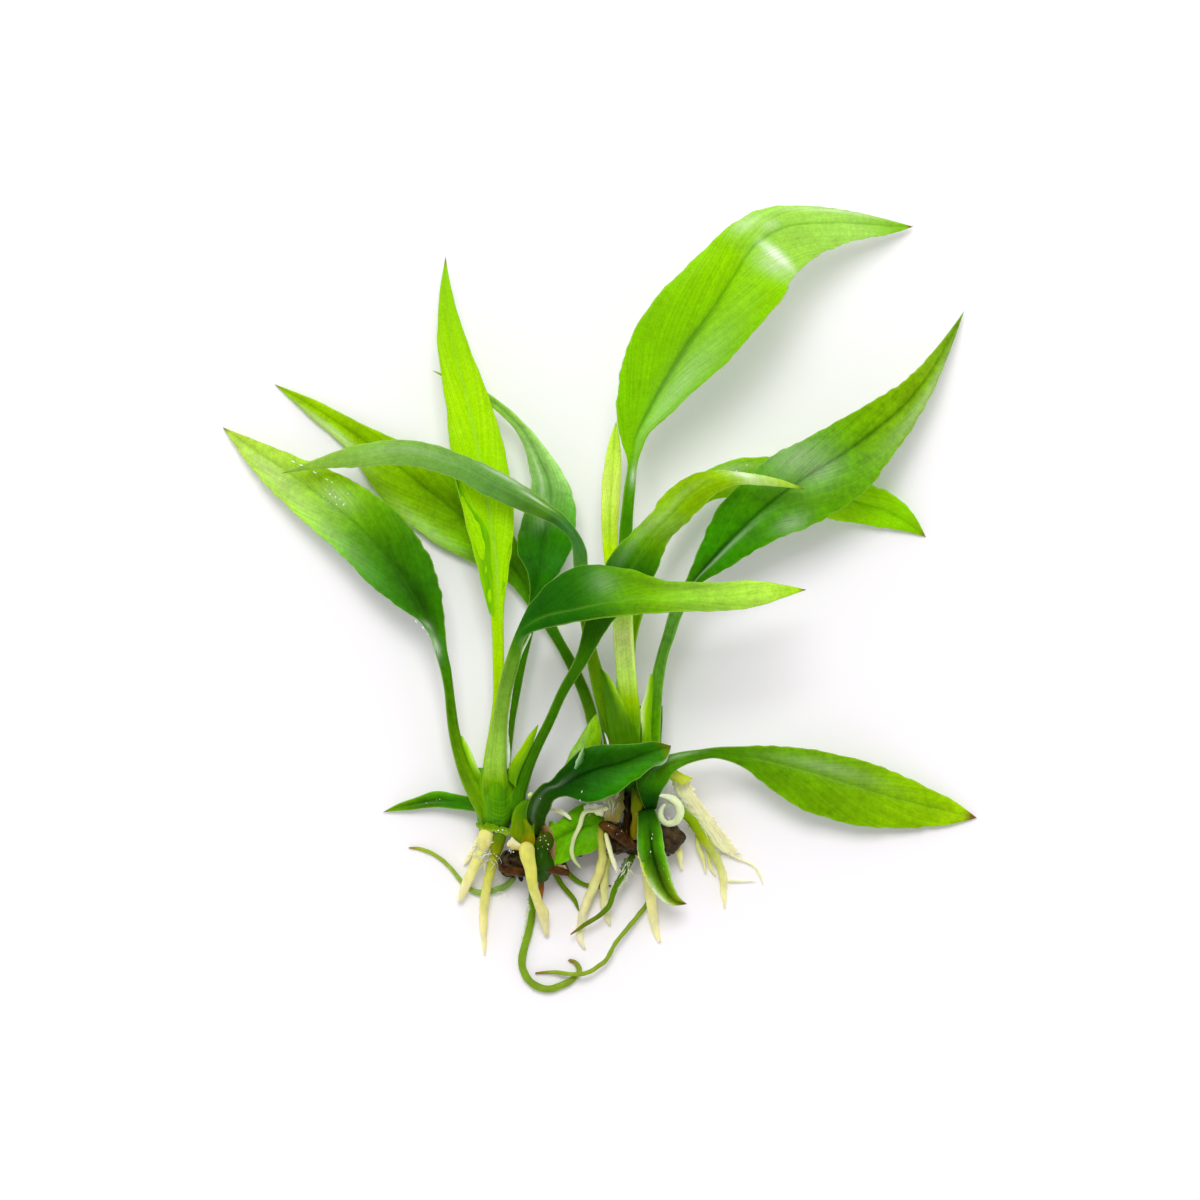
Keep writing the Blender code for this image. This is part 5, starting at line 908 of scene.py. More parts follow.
EXTRA_ROOTS = {
    "foot_left": ([(-18.8, -37.6, 5.6, 1.2), (-18.9, -39.2, 5.6, 1.35), (-19.3, -40.8, 5.2, 1.2),
        (-19.8, -42.2, 4.6, 0.7)], ("#D8DC84", "#E4E094", "#DCD890")),
    "stub_left": ([(-16.4, -38.4, 6.4, 1.1), (-16.9, -40.2, 6, 1.1), (-17.3, -41.8, 5.2, 0.95),
        (-17.4, -42.8, 4.6, 0.5)], ("#4A7408", "#66800E", "#94982C")),
    "strand_right": ([(0.9, -38.6, 7.6, 0.3), (1.75, -42, 7.2, 0.42), (2.4, -44, 6.4, 0.38),
        (2.8, -45.2, 5.8, 0.12)], ("#D8D8A0", "#E8E8B8", "#F0F0D0")),
    "wisp_right": ([(-8.4, -34.8, 6.6, 0.12), (-7.4, -35, 6.8, 0.34), (-6, -35.5, 7.2, 0.42),
        (-4.7, -36.6, 7.6, 0.14)], ("#F2EEC8", "#F0EAC0", "#F4F0D4")),
    "wisp_left": ([(-19.2, -43.4, 3.8, 0.3), (-20.4, -44.8, 3.2, 0.22), (-21.6, -45.9, 3, 0.08)],
        ("#F0ECC0", "#F4F0D0", "#F4F0D0")),
    "filament": ([(21.6, -42.2, 1.3, 0.4), (22.4, -42.7, 0.9, 0.26), (23.5, -43.3, 0.7, 0.2),
        (24.8, -43.8, 0.6, 0.17), (25.7, -44.4, 0.5, 0.17), (26.8, -46.3, 0.4, 0.16),
        (27.2, -47.5, 0.35, 0.06)], ("#F0EFC8", "#F0ECC0", "#F0ECC0")),
    "branch_right_1": ([(16.2, -38.2, 3, 0.3), (16.3, -40.7, 2.2, 0.4), (17.1, -43, 1.4, 0.36),
        (17.6, -45.6, 0.7, 0.1)], ("#A8BC44", "#DCE08C", "#EEEAB4")),
    "branch_right_2": ([(18, -41.6, 1.7, 0.25), (18.3, -44.2, 1, 0.28), (19.4, -46, 0.6, 0.1)],
        ("#A8BC44", "#DCE08C", "#EEEAB4")),
    "rootlet_right": ([(20.5, -46.6, 0.9, 0.2), (23.4, -46.85, 0.55, 0.16), (26, -46.9, 0.4, 0.06)],
        ("#F0EFC8", "#F0ECC0", "#F0ECC0")),
}
# Dark stubs of old roots on the creeping stem, in the same way.
DARK_STUBS = {
    "stub_right": ([(6, -30.6, 7.4, 0.85), (5.95, -35.4, 7.9, 0.85), (5.8, -38, 7.7, 0.8),
        (5.6, -40, 7.2, 0.5)], ("#2E4A08", "#5E6A14", "#7A6A1C")),
    "bark_right": ([(4.6, -31.6, 6.8, 0.7), (4.5, -35.4, 7.1, 0.7), (4.6, -39.6, 6.9, 0.6)],
        ("#20180A", "#1A1206", "#2C1C08")),
    "knob_left": ([(-9.4, -38, 7.2, 0.9), (-9.3, -39.8, 7.3, 1.5), (-9.5, -41.8, 7.1, 1.4),
        (-9.2, -43.6, 6.6, 1.65), (-9.6, -45.6, 5.2, 1.2), (-9.9, -46.9, 4, 0.6)],
        ("#4A5418", "#24460A", "#30501C")),
    "knob_left_end": ([(-7.6, -43.6, 3.4, 0.6), (-6.4, -44.6, 2.6, 0.55), (-5.2, -45.7, 1.6, 0.25)],
        ("#5E4A1C", "#8A5A30", "#7A4A24")),
    "bark_tip": ([(-13.6, -45.2, 3.4, 0.35), (-13.2, -46.2, 2.8, 0.4), (-13, -46.9, 2.2, 0.15)],
        ("#141008", "#0E0A04", "#181008")),
}
# The flat pale root on the right, torn along its left side, as a sheet.
FLAT_ROOT = {
    "rows": [(11.9, -30, 5.8, 15, -29.8, 5.6), (13, -32.6, 5.2, 16.3, -32.8, 5),
        (14.4, -34.8, 4.5, 17.8, -35, 4.3), (16, -36.9, 3.7, 19.4, -37.2, 3.5),
        (17.6, -38.8, 2.8, 21, -39.2, 2.6), (18.9, -40.8, 2, 22.3, -41.2, 1.9),
        (20.2, -41.8, 1.5, 22.7, -41.9, 1.4), (21.4, -42.5, 1.1, 22.1, -42.4, 1.1)],
    "body": (1.1, 0.5),
    "colours": ("#E4E8B4", "#F2F0C4", "#F6EEC0"),
    "ragged": 0.3,
}

# Each thin root, in the same way.
THREADS = {
    "root_green_1": ([(-14.2, -45.8, 1.4, 0.5), (-15.3, -47.4, 0.9, 0.55), (-17.1, -48.2, 0.65, 0.55),
        (-20.5, -48.7, 0.55, 0.5), (-21.8, -48.2, 0.5, 0.44), (-23.4, -46.5, 0.45, 0.36),
        (-25, -44.5, 0.42, 0.34), (-27, -42.8, 0.4, 0.32), (-29.8, -41.5, 0.4, 0.3),
        (-32, -41.3, 0.3, 0.12)], ("#7EA052", "#90AE60", "#A2B848", "#9A6A44")),
    "root_green_2": ([(-11.8, -46.4, 2, 0.5), (-11.3, -49.8, 0.8, 0.58), (-11.45, -53.2, 0.7, 0.62),
        (-12, -55.9, 0.7, 0.63), (-12.8, -58.8, 0.7, 0.63), (-13, -60.9, 0.7, 0.63),
        (-12, -63.2, 0.7, 0.63), (-10.3, -64.5, 0.7, 0.63), (-8.5, -64.8, 0.7, 0.62),
        (-6.2, -64.1, 0.65, 0.58), (-4.4, -63, 0.6, 0.52), (-3.5, -61.8, 0.55, 0.46),
        (-4.1, -60.4, 0.5, 0.4), (-5.4, -60, 0.4, 0.2)], ("#547A1C", "#7E9E3C", "#86A040", "#907840")),
    "root_green_3": ([(8.2, -43.4, 1.2, 0.4), (8.8, -46.8, 0.6, 0.4), (8.3, -49.8, 0.5, 0.4),
        (6.9, -51.9, 1.1, 0.4), (4.8, -54.5, 1.7, 0.4), (2.5, -57.3, 2, 0.38), (0.95, -60, 1.9, 0.38),
        (-0.5, -61.2, 2, 0.38), (-2.6, -62.2, 2.1, 0.38), (-5, -62.3, 1.7, 0.36), (-7.8, -62, 0.7, 0.3),
        (-10.9, -62.2, 0.4, 0.14)], ("#5E8222", "#8AA444", "#92A844", "#8A5A34")),
    "root_green_4": ([(-7.6, -45.4, 1.4, 0.42), (-5.8, -48.2, 0.7, 0.42), (-4.2, -50.1, 0.45, 0.36),
        (-3.5, -51.9, 0.35, 0.14)], ("#6A8A30", "#6A8A24", "#6E8A30", "#A8A480")),
    "root_green_5": ([(5.7, -42.2, 4.2, 0.55), (3.8, -45.7, 3.9, 0.55), (2.3, -48.5, 3.5, 0.5),
        (1.5, -51, 3.1, 0.45), (-0.1, -52.5, 2.8, 0.4), (-2.6, -54.1, 2.4, 0.35), (-5, -55.8, 1.9, 0.12)],
        ("#3C5A14", "#5A8228", "#6A7A2C", "#9A6A3C")),
    "root_green_6": ([(-6.2, -43.4, 1.8, 0.42), (-5, -45.8, 0.8, 0.42), (-3.9, -46.7, 0.6, 0.42),
        (-2.6, -47.4, 0.5, 0.38), (0, -47.8, 0.4, 0.34), (2, -47.6, 0.35, 0.14)],
        ("#8A7240", "#6A9028", "#6A8C2C")),
}

# Tufts of fine white fibres: (middle x, middle y, height, reach, how many, length, heading, spread), the
# last two in degrees.
FIBRES = [(-19.2, -41.8, 5.8, 1.2, 26, 2.2, 200, 60), (-18.4, -42.8, 5, 0.9, 14, 1.8, 250, 70),
    (-20.4, -40.8, 4.6, 0.5, 8, 1.8, 235, 25), (2.2, -33.4, 8.4, 1.2, 7, 2.6, 258, 22),
    (3.2, -31.6, 8, 0.6, 4, 2.2, 250, 20), (12.4, -33.2, 7.9, 0.8, 18, 2, 170, 70),
    (13, -36, 7.2, 0.8, 20, 1.4, 300, 90), (11, -37, 6.9, 0.7, 14, 1.3, 200, 80),
    (13.6, -33.6, 5.8, 0.7, 16, 2.4, 285, 40), (15.2, -36.2, 4.6, 0.8, 16, 2.4, 290, 35),
    (17.2, -38.8, 3.4, 0.8, 16, 2.4, 292, 35), (19.2, -41.4, 2, 0.7, 12, 2, 292, 40),
    (22.4, -42.4, 1, 0.5, 6, 1.8, 330, 40), (-0.9, -34.8, 8.4, 0.9, 5, 1.2, 200, 60),
    (4.4, -44.6, 4.7, 0.9, 12, 2, 250, 50), (5, -43.4, 4.8, 0.6, 8, 1.6, 270, 60),
    (-16.6, -48.2, 1, 1.2, 14, 1.4, 200, 90), (-7.6, -43.9, 5, 0.6, 10, 1.6, 320, 50),
    (-14.6, -41.2, 7, 0.5, 8, 1, 250, 60), (8, -32.9, 8.9, 0.4, 6, 1.4, 190, 40)]

# Water that stands on the plant, drawn as white beads that are painted glints: (x, y, radius, length over
# width, heading in degrees). The height is the highest point of the plant there.
DROPS = [(-51, 23, 0.105, 3.5, -25), (-49.6, 22.4, 0.081, 4, -25), (-47.4, 21.2, 0.113, 3.5, -30),
    (-45.3, 20, 0.105, 3.8, -30), (-44.6, 19.6, 0.081, 2.5, -30), (-45.6, 18.4, 0.096, 2, 60),
    (-44.9, 17.6, 0.129, 1.6, 50), (-44, 17.1, 0.096, 2.2, 80), (-43.2, 16.8, 0.137, 1.4, 20),
    (-42.6, 15.9, 0.113, 2, 60), (-43.8, 15.9, 0.081, 1.5, 0), (-42.2, 16.8, 0.081, 2, 90),
    (-46, 17.2, 0.073, 1, 0), (-45, 16.2, 0.081, 1, 0), (-41.9, 17.6, 0.073, 1.5, 40),
    (-44.4, 18.2, 0.073, 1, 0), (-30.6, -3.6, 0.096, 2.2, -40), (-29.4, -4.6, 0.113, 2.4, -60),
    (-28.6, -5.6, 0.096, 1.6, -70), (-29.9, -4, 0.065, 1, 0), (-16.9, -38.3, 0.099, 1.6, 20),
    (-16.2, -38.2, 0.105, 1.4, -10), (-17.3, -38.6, 0.068, 1, 0), (-15.6, -38.3, 0.062, 1.2, 0),
    (-16.5, -38.6, 0.062, 1, 0), (-18.6, -40, 0.093, 1.8, 20), (-17.9, -40.3, 0.087, 2.2, 30),
    (-17.2, -42.6, 0.087, 1.8, -30), (-16.9, -43, 0.062, 1.2, 0), (-17.6, -42.2, 0.062, 1.4, 60),
    (-14.4, -41.9, 0.099, 1.4, 10), (-13.8, -40.2, 0.081, 1, 0), (-13.7, -40.5, 0.056, 1, 0),
    (-9, -40, 0.074, 1, 0), (-8.6, -40.6, 0.093, 1.8, -50), (-3, -31.8, 0.081, 2.6, 75),
    (-3.3, -33.2, 0.087, 3, 80), (-9.9, -33, 0.062, 1.6, 20), (-26.7, -33.2, 0.068, 1.6, 0),
    (-27.2, -33.3, 0.056, 1, 0), (-28.9, -33.8, 0.073, 1, 0), (8.6, -39.6, 0.074, 2.4, 85),
    (8.4, -41.8, 0.074, 2.6, 85), (2.8, -38.9, 0.062, 1, 0), (1.4, -37.5, 0.068, 1.4, -20),
    (3.6, -38.4, 0.068, 1.2, 0), (11.4, -46.4, 0.062, 1.6, 110), (10.6, -44.6, 0.056, 1.4, 100),
    (22.6, 21.4, 0.074, 2.4, 40), (24.4, 22.4, 0.087, 2, 40), (25.6, 20.9, 0.062, 1.6, 30),
    (27.6, 57.2, 0.074, 2, 45), (28.6, 56, 0.087, 1.8, 45), (29.6, 57.4, 0.062, 1.6, 45),
    (30.2, 55.8, 0.074, 2, 45), (-9.9, -39.4, 0.06, 1.6, 10), (-9.2, -39.2, 0.06, 2, -20),
    (-9.9, -39.9, 0.05, 3.2, 25), (-8.7, -41.4, 0.05, 3, -50), (-9.6, -41, 0.04, 2, 80),
    (-10.3, -41.3, 0.045, 2.6, 60), (8.7, -38.9, 0.05, 2.6, 85)]


def tube(rows, spacing, around, unevenness, seed):
    """A root as one closed skin: circles of points carried along a smooth line through its rows.

    A point is the line's place plus the radius times the circle's point, in the plane square to the line.
    The radius swells and shrinks by soft ripples, and runs out to a round end at both ends.
    """
    table, places, _ = smooth_rows([(row[3], *row[:3]) for row in rows], spacing)
    radius, middle = table[:, :1], table[:, 1:]
    along = unit(np.gradient(middle, axis=0))
    side = unit(np.cross(along, (0.0, 0.0, 1.0)))
    up = np.cross(side, along)
    turn = np.linspace(0, 2 * math.pi, around, endpoint=False)
    circle = np.cos(turn)[None, :, None] * side[:, None, :] + np.sin(turn)[None, :, None] * up[:, None, :]
    run = places[:, None]
    reach = np.maximum(radius * 1.3, 1e-3)
    from_start = np.clip(run / reach, 0, 1)
    to_end = np.clip((places[-1] - run) / reach, 0, 1)
    radius = radius * np.sqrt(1 - (1 - from_start) ** 2 * 0.98) * np.sqrt(1 - (1 - to_end) ** 2)
    thick = radius * (1 + unevenness * ripple(middle[:, None, :] + circle, 2.6, seed))
    rings = middle[:, None, :] + circle * thick[..., None]
    share = np.broadcast_to(run / places[-1], thick.shape)
    return shell(rings[:-1], {"share": share[:-1]}, middle[-1])


def plate(look, seed):
    """A thin plate as one closed skin, through rows of (left edge, right edge).

    Across it runs v from 0 to 1. A point is the blend of the two edges, raised by the bend times 4 v (1 - v)
    and by half the thickness times the root of 4 v (1 - v), up on the one face and down on the other. Fine
    ripples fray its edges along it.
    """
    edges = np.array(look["rows"], float)
    thickness, bend = look["body"]
    table, places, _ = smooth_rows(np.hstack((edges, (edges[:, :3] + edges[:, 3:]) / 2)), SHEET_STEP)
    left, right, middle = table[:, None, :3], table[:, None, 3:6], table[:, 6:]
    v = (0.5 - 0.5 * np.cos(np.linspace(0, math.pi, SHEET_COLUMNS)))[None, :, None]
    reach = right - left
    way = unit(np.cross(table[:, 3:6] - table[:, :3], np.gradient(middle, axis=0)))[:, None, :]
    fray = look.get("ragged", 0.0)
    torn = [fray * (ripple(edge, 1.1, seed + k) + 0.6 * ripple(edge, 0.45, seed + k))[..., None]
            for k, edge in ((1, left), (2, right))]
    across = unit(reach)
    base = left + reach * v + across * (torn[0] * (1 - v) ** 2 - torn[1] * v**2)
    rise = 4 * v * (1 - v)
    base = base + way * (bend * rise + 0.1 * ripple(base, 2.0, seed)[..., None] * rise)
    top = base + way * thickness / 2 * np.sqrt(rise)
    bottom = base - way * thickness / 2 * np.sqrt(rise)
    rings = round_trip(top, bottom)
    rings[..., 2] = np.maximum(rings[..., 2], LOWEST)
    share = np.broadcast_to((places / places[-1])[:, None], (len(places), rings.shape[1]))
    side = np.broadcast_to(v[..., 0], (len(places), v.shape[1]))
    off = side * np.linalg.norm(reach, axis=-1)
    grain = np.stack((off * 2.4, np.broadcast_to(places[:, None] * 0.3, off.shape), off * 0), axis=-1)
    return shell(rings, {"share": share, "side": round_trip(side, side), "grain": round_trip(grain, grain)})


def crown_skin(name):
    """A crown as one closed skin, rows along Y and t from 0 at its left outline to 1 at its right one.

    The front is a height over x and y: the soft maximum of one ridge for each stalk, where a ridge is its
    line's height less 1.5 times the square of the distance over its half width. Where the edge of a leaf
    base bows across, the front steps down a little, with a painted highlight on the step and a painted shade
    line below it. The tone holds own colour with spots of painted highlight and shade. The back is half an
    oval.
    """
    form = CROWN_FORMS[name]
    outline = np.array(form["outline"])[::-1]
    y = np.linspace(outline[0, 0], outline[-1, 0], CROWN_ROWS)[::-1]
    left, right, low = (np.interp(y, outline[:, 0], outline[:, k]) for k in (1, 2, 3))
    t = (0.5 - 0.5 * np.cos(np.linspace(0, math.pi, CROWN_COLUMNS)))[None, :]
    x = left[:, None] + (right - left)[:, None] * t
    sharp = 2.2
    total = 0
    for ridge in form["ridges"]:
        line = np.array(ridge)[::-1]
        centre, level, half = (np.interp(y, line[:, 0], line[:, k])[:, None] for k in (1, 2, 3))
        total = total + np.exp(sharp * (level - 1.5 * ((x - centre) / half) ** 2))
    height = np.log(np.maximum(total, 1e-30)) / sharp
    edge = low[:, None] + 0.4 * (height.max(axis=1, keepdims=True) - low[:, None])
    run = np.linspace(0, 1, len(y))[:, None]
    ends = np.clip(1 - run / 0.12, 0, 1) ** 2, np.clip(1 - (1 - run) / 0.12, 0, 1) ** 2
    close = np.sqrt(1 - ends[0]) * np.sqrt(1 - ends[1])
    bulge = np.sqrt(np.clip(1 - (2 * t - 1) ** 4, 0, 1))
    height = np.maximum(height, edge + 0.3)
    ys = np.broadcast_to(y[:, None], x.shape)
    middle, climb_left, climb_right, crossings = form["arcs"]
    bow = ys - np.where(x < middle, climb_left, climb_right) * (x - middle) ** 2
    # own tone with spots of painted highlight and shade
    tone = form["tone"] + spots(x, ys, form["shades"])
    near = np.exp(-(((x - middle) / 2.5) ** 4))
    # each edge that bows across: a small step down, a painted highlight on it and a painted shade line below
    for place in crossings:
        height = height + 0.03 * near * np.tanh((place - bow) / 0.14)
        light, dark = np.exp(-(((bow - place) / 0.14) ** 2)), np.exp(-(((bow - place - 0.3) / 0.2) ** 2))
        tone = tone + near * (0.05 * light - 0.05 * dark)
    top = edge + (height - edge) * bulge * close
    bottom = edge - (edge - low[:, None]) * np.sqrt(np.clip(1 - (2 * t - 1) ** 2, 0, 1)) * close
    front = np.stack((x, ys, top), axis=-1)
    front[..., 2] += 0.05 * ripple(front * (1.0, 0.25, 1.0), 1.6, 5)
    back = np.stack((x, ys, bottom), axis=-1)
    rings = round_trip(front, back)
    grain = np.stack((x * 2.2 + (t - 0.5) * 6, ys * 0.3, x * 0), axis=-1)
    values = {"tone": np.clip(tone, 0, 1), "grain": grain}
    values = {k: round_trip(w, w) for k, w in values.items()}
    return shell(rings, values)


def tuft_rows(x, y, z, reach, number, length, heading, spread):
    """The lines of one tuft's fibres: each leaves a point near the middle and bends away, rising a little."""
    chance = np.random.default_rng(int(abs(x * 131 + y * 17)))
    start = np.array((x, y, z)) + chance.normal(0, 1, (number, 3)) * (reach * 0.5, reach * 0.5, 0.12)
    turn = np.radians(heading + chance.uniform(-spread, spread, number))
    long = length * chance.uniform(0.4, 1.0, number)
    bend = chance.uniform(-0.5, 0.5, number) * long
    thick = chance.uniform(0.05, 0.11, number)
    way = np.stack((np.cos(turn), np.sin(turn), turn * 0), axis=1)
    square = np.stack((-np.sin(turn), np.cos(turn), turn * 0), axis=1)
    rows = []
    for t in (0.0, 0.35, 0.7, 1.0):
        point = start + way * (long * t)[:, None] + square * (bend * t * t)[:, None]
        point[:, 2] = np.maximum(point[:, 2] + 0.4 * t * (1 - t) - 0.25 * long * t, 0.2)
        rows.append(np.concatenate((point, (thick * (1 - 0.7 * t))[:, None]), axis=1))
    return np.stack(rows, axis=1).tolist()


def plant_heights(places):
    """The plant's highest point near each place, in millimetres: of all vertices within 0.35 mm seen from
    above, or of the nearest one."""
    clouds = []
    for made in bpy.data.objects:
        if made.type == "MESH" and "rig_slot" in made and not made.hide_render:
            points = np.empty(len(made.data.vertices) * 3, np.float32)
            made.data.vertices.foreach_get("co", points)
            clouds.append(points.reshape(-1, 3) / MM)
    cloud = np.concatenate(clouds)
    tops = []
    for place in places:
        away = np.hypot(cloud[:, 0] - place[0], cloud[:, 1] - place[1])
        near = cloud[away < max(0.35, away.min() + 0.01), 2]
        tops.append(near.max())
    return np.array(tops)


def drop_skin(x, y, z, radius, stretch, heading):
    """A drop of standing water as one closed skin: half an oval on its foot, seven rings of twelve points."""
    lift = np.linspace(-0.5, 1, 7) * math.pi / 2
    turn = np.linspace(0, 2 * math.pi, 12, endpoint=False)[None, :]
    wide = np.maximum(np.cos(lift), 0.02)[:, None] * radius
    along, across = wide * np.cos(turn) * stretch, wide * np.sin(turn)
    angle = math.radians(heading)
    points = np.stack((
        x + along * math.cos(angle) - across * math.sin(angle),
        y + along * math.sin(angle) + across * math.cos(angle),
        np.broadcast_to(z + 0.7 * radius * np.sin(lift)[:, None], along.shape),
    ), axis=-1)
    return shell(points, {})


def rhizome_skin():
    """The creeping stem as one closed skin: oval sections on a flat foot, carried along its line.

    The surface is pushed out and in by three sizes of ripple and by a ring for each old leaf, and what
    would reach below the surface that it lies on is set flat on it.
    """
    rows = [(w, h, x, y, 0.0) for x, y, w, h in RHIZOME]
    table, places, _ = smooth_rows(rows, BARK_STEP)
    half, height, middle = table[:, :1], table[:, 1:2], table[:, 2:]
    along = unit(np.gradient(middle, axis=0))
    side = np.cross(along, (0.0, 0.0, 1.0))
    turn = np.linspace(0, 2 * math.pi, BARK_AROUND, endpoint=False)[None, :]
    ends = np.clip(places[:, None] / 1.2, 0, 1) * np.clip((places[-1] - places[:, None]) / 1.2, 0, 1)
    close = np.sqrt(np.clip(1 - (1 - ends) ** 2, 0, 1))
    off, level = half * np.cos(turn) * close, height * (0.36 + 0.64 * np.sin(turn) * close)
    points = middle[:, None, :] + side[:, None, :] * off[..., None] + np.array((0, 0, 1.0)) * level[..., None]
    out = side[:, None, :] * np.cos(turn)[..., None] + np.array((0, 0, 1.0)) * np.sin(turn)[..., None]
    push = 0.42 * ripple(points, 3.4, 11) + 0.24 * ripple(points, 1.5, 12) + 0.09 * ripple(points, 0.7, 13)
    push += 0.14 * np.sin(places[:, None] * 2 * math.pi / 1.7)
    points = points + out * (push * close)[..., None]
    points[..., 2] = np.maximum(points[..., 2], LOWEST)
    share = np.broadcast_to(places[:, None] / places[-1], points.shape[:2])
    return shell(points, {"share": share})


def soft_noise(tree, wavelength, stretch=(1, 1, 1)):
    """A noise that varies softly over the piece, with a wavelength in metres."""
    where = add(tree, "TexCoord").outputs["Object"]
    where = add(tree, "VectorMath", [(0, where), (1, stretch)], operation="MULTIPLY").outputs[0]
    noise = add(tree, "TexNoise", [("Vector", where), ("Scale", 1 / wavelength), ("Detail", 4.0)])
    return noise.outputs["Fac"]


def flesh(shader, roughness, glow, radius=DAYLIGHT, scale=0.0004):
    """Sets a shader to damp plant tissue that light passes into."""
    for socket, value in (
        ("Roughness", roughness), ("IOR", TISSUE_IOR), ("Specular IOR Level", 0.08),
        ("Subsurface Weight", glow), ("Subsurface Radius", radius), ("Subsurface Scale", scale),
    ):
        shader.inputs[socket].default_value = value


def patterned(tree, shader, tone, noise, low, high, height, strength, depth):
    """A noise makes the colour darker and lighter, by factors from low to high, and a height stands out."""
    links = [("Value", noise), ("From Min", 0.3), ("From Max", 0.7), ("To Min", low), ("To Max", high)]
    light = add(tree, "MapRange", links).outputs["Result"]
    tone = add(tree, "HueSaturation", [("Color", tone), ("Value", light), ("Saturation", 1.1)])
    bump = add(tree, "Bump", [("Height", height), ("Strength", strength), ("Distance", depth)])
    tree.links.new(tone.outputs["Color"], shader.inputs["Base Color"])
    tree.links.new(bump.outputs["Normal"], shader.inputs["Normal"])


def root_material(name, tones, roughness=0.35, glow=0.5):
    """Fleshy root, grown under water: pale tissue that light passes into, under a smooth damp skin."""
    made, tree, shader = new_material(f"fleshy root {name}")
    share = add(tree, "Attribute", attribute_name="share").outputs["Fac"]
    stops = [(p, linear(h)) for p, h in zip((0.0, 0.35, 0.9, 1.0), tones)]
    tone = add(tree, "ValToRGB", [("Fac", share)], stops).outputs["Color"]
    coarse, fine = soft_noise(tree, 0.0013, (1, 0.5, 1)), soft_noise(tree, 0.0005, (1, 0.4, 1))
    patterned(tree, shader, tone, coarse, 0.86, 1.1, fine, 0.4, 0.0001)
    flesh(shader, roughness, glow, (1.0, 0.8, 0.4), 0.0006)
    return made


def plain_tissue(name, dark, light, wavelength, roughness, glow=0.3, relief=0.0001):
    """A plant tissue between two tones, mottled at a wavelength in metres, with relief of the same noise."""
    made, tree, shader = new_material(name)
    noise = soft_noise(tree, wavelength)
    tone = add(tree, "ValToRGB", [("Fac", noise)], [(0.32, linear(dark)), (0.68, linear(light))])
    tree.links.new(tone.outputs["Color"], shader.inputs["Base Color"])
    bump = add(tree, "Bump", [("Height", noise), ("Strength", 0.6), ("Distance", relief)])
    tree.links.new(bump.outputs["Normal"], shader.inputs["Normal"])
    flesh(shader, roughness, glow)
    return made


def grained(tree, shader, tone, low, high, relief):
    """Lines that run along the tissue: they vary its tone and stand out from it."""
    grain = add(tree, "Attribute", attribute_name="grain").outputs["Vector"]
    streak = add(tree, "TexNoise", [("Vector", grain), ("Scale", 1.0), ("Detail", 3.0)]).outputs["Fac"]
    patterned(tree, shader, tone, streak, low, high, streak, 0.5, relief)


def sheet_material(name, look):
    """Thin plant tissue, living or torn off: the sheath of a leaf base, a rolled margin, a film of skin."""
    made, tree, shader = new_material(f"thin plant tissue {name}")
    side = add(tree, "Attribute", attribute_name="side").outputs["Fac"]
    stops = [(p, linear(h)) for p, h in zip((0.06, 0.5, 0.94), look["colours"])]
    tone = add(tree, "ValToRGB", [("Fac", side)], stops).outputs["Color"]
    if "end" in look:
        colour, first, last = look["end"]
        share = add(tree, "Attribute", attribute_name="share").outputs["Fac"]
        far = add(tree, "MapRange", [("Value", share), ("From Min", first), ("From Max", last)])
        layer = [(0, far.outputs["Result"]), (6, tone), (7, linear(colour))]
        tone = add(tree, "Mix", layer, data_type="RGBA").outputs[2]
    grained(tree, shader, tone, 0.84, 1.12, 0.0001)
    flesh(shader, 0.3, 0.35)
    shader.inputs["Alpha"].default_value = look.get("clear", 1.0)
    return made


def crown_material():
    """Overlapping leaf bases, living: smooth sheaths whose fine lines run down from the stalks."""
    made, tree, shader = new_material("living leaf bases")
    value = add(tree, "Attribute", attribute_name="tone").outputs["Fac"]
    # the tone attribute holds the sheaths' own colour with painted highlights and shade in it
    shades = ((0.0, "#181C06"), (0.12, "#1C5200"), (0.26, "#2E7200"), (0.42, "#508E06"), (0.56, "#68A010"),
              (0.7, "#86B83A"), (0.85, "#ACD458"), (1.0, "#D4E8A0"))
    tone = add(tree, "ValToRGB", [("Fac", value)], [(p, linear(h)) for p, h in shades]).outputs["Color"]
    grained(tree, shader, tone, 0.8, 1.14, 0.00015)
    flesh(shader, 0.33, 0.2)
    return made


class LeafSizes(bpy.types.PropertyGroup):
    """Sizes of the leaves' tissue."""

    tissue: bpy.props.FloatProperty(
        name="Blade thickness", description="Thickness of a leaf blade", default=0.00055, unit="LENGTH"
    )
    camber: bpy.props.FloatProperty(
        name="Blade swell", description="How far a blade's halves swell, as share of the width", default=0.055
    )
    step: bpy.props.FloatProperty(
        name="Mesh step", description="Distance between the rows along a leaf", default=0.0006, unit="LENGTH"
    )


class LeafTints(bpy.types.PropertyGroup):
    """Colours that all leaves share."""

    brightness: bpy.props.FloatProperty(
        name="Leaf brightness", description="Factor on all leaves' colours", default=0.9, min=0.1, max=2.0
    )
    margin: bpy.props.FloatVectorProperty(
        name="Margin", description="The thin pale line along a blade's edge", default=linear("#A8CC50")[:3],
        size=3, subtype="COLOR", min=0, max=1,
    )
    dry_tip: bpy.props.FloatVectorProperty(
        name="Dry tip", description="The dried end of a blade", default=linear("#7A5E1C")[:3],
        size=3, subtype="COLOR", min=0, max=1,
    )
    # the colour that the painted highlights on wet skin blend towards
    painted_wet_highlight: bpy.props.FloatVectorProperty(
        name="Wet skin", description="The pale light on wet skin", default=linear("#EEF8DE")[:3],
        size=3, subtype="COLOR", min=0, max=1,
    )


class RootSizes(bpy.types.PropertyGroup):
    """Sizes and finish of the roots."""

    step: bpy.props.FloatProperty(
        name="Mesh step", description="Distance between the rows along a root", default=0.0003, unit="LENGTH"
    )
    unevenness: bpy.props.FloatProperty(
        name="Unevenness", description="How far a root's radius swells and shrinks, as a share", default=0.12
    )


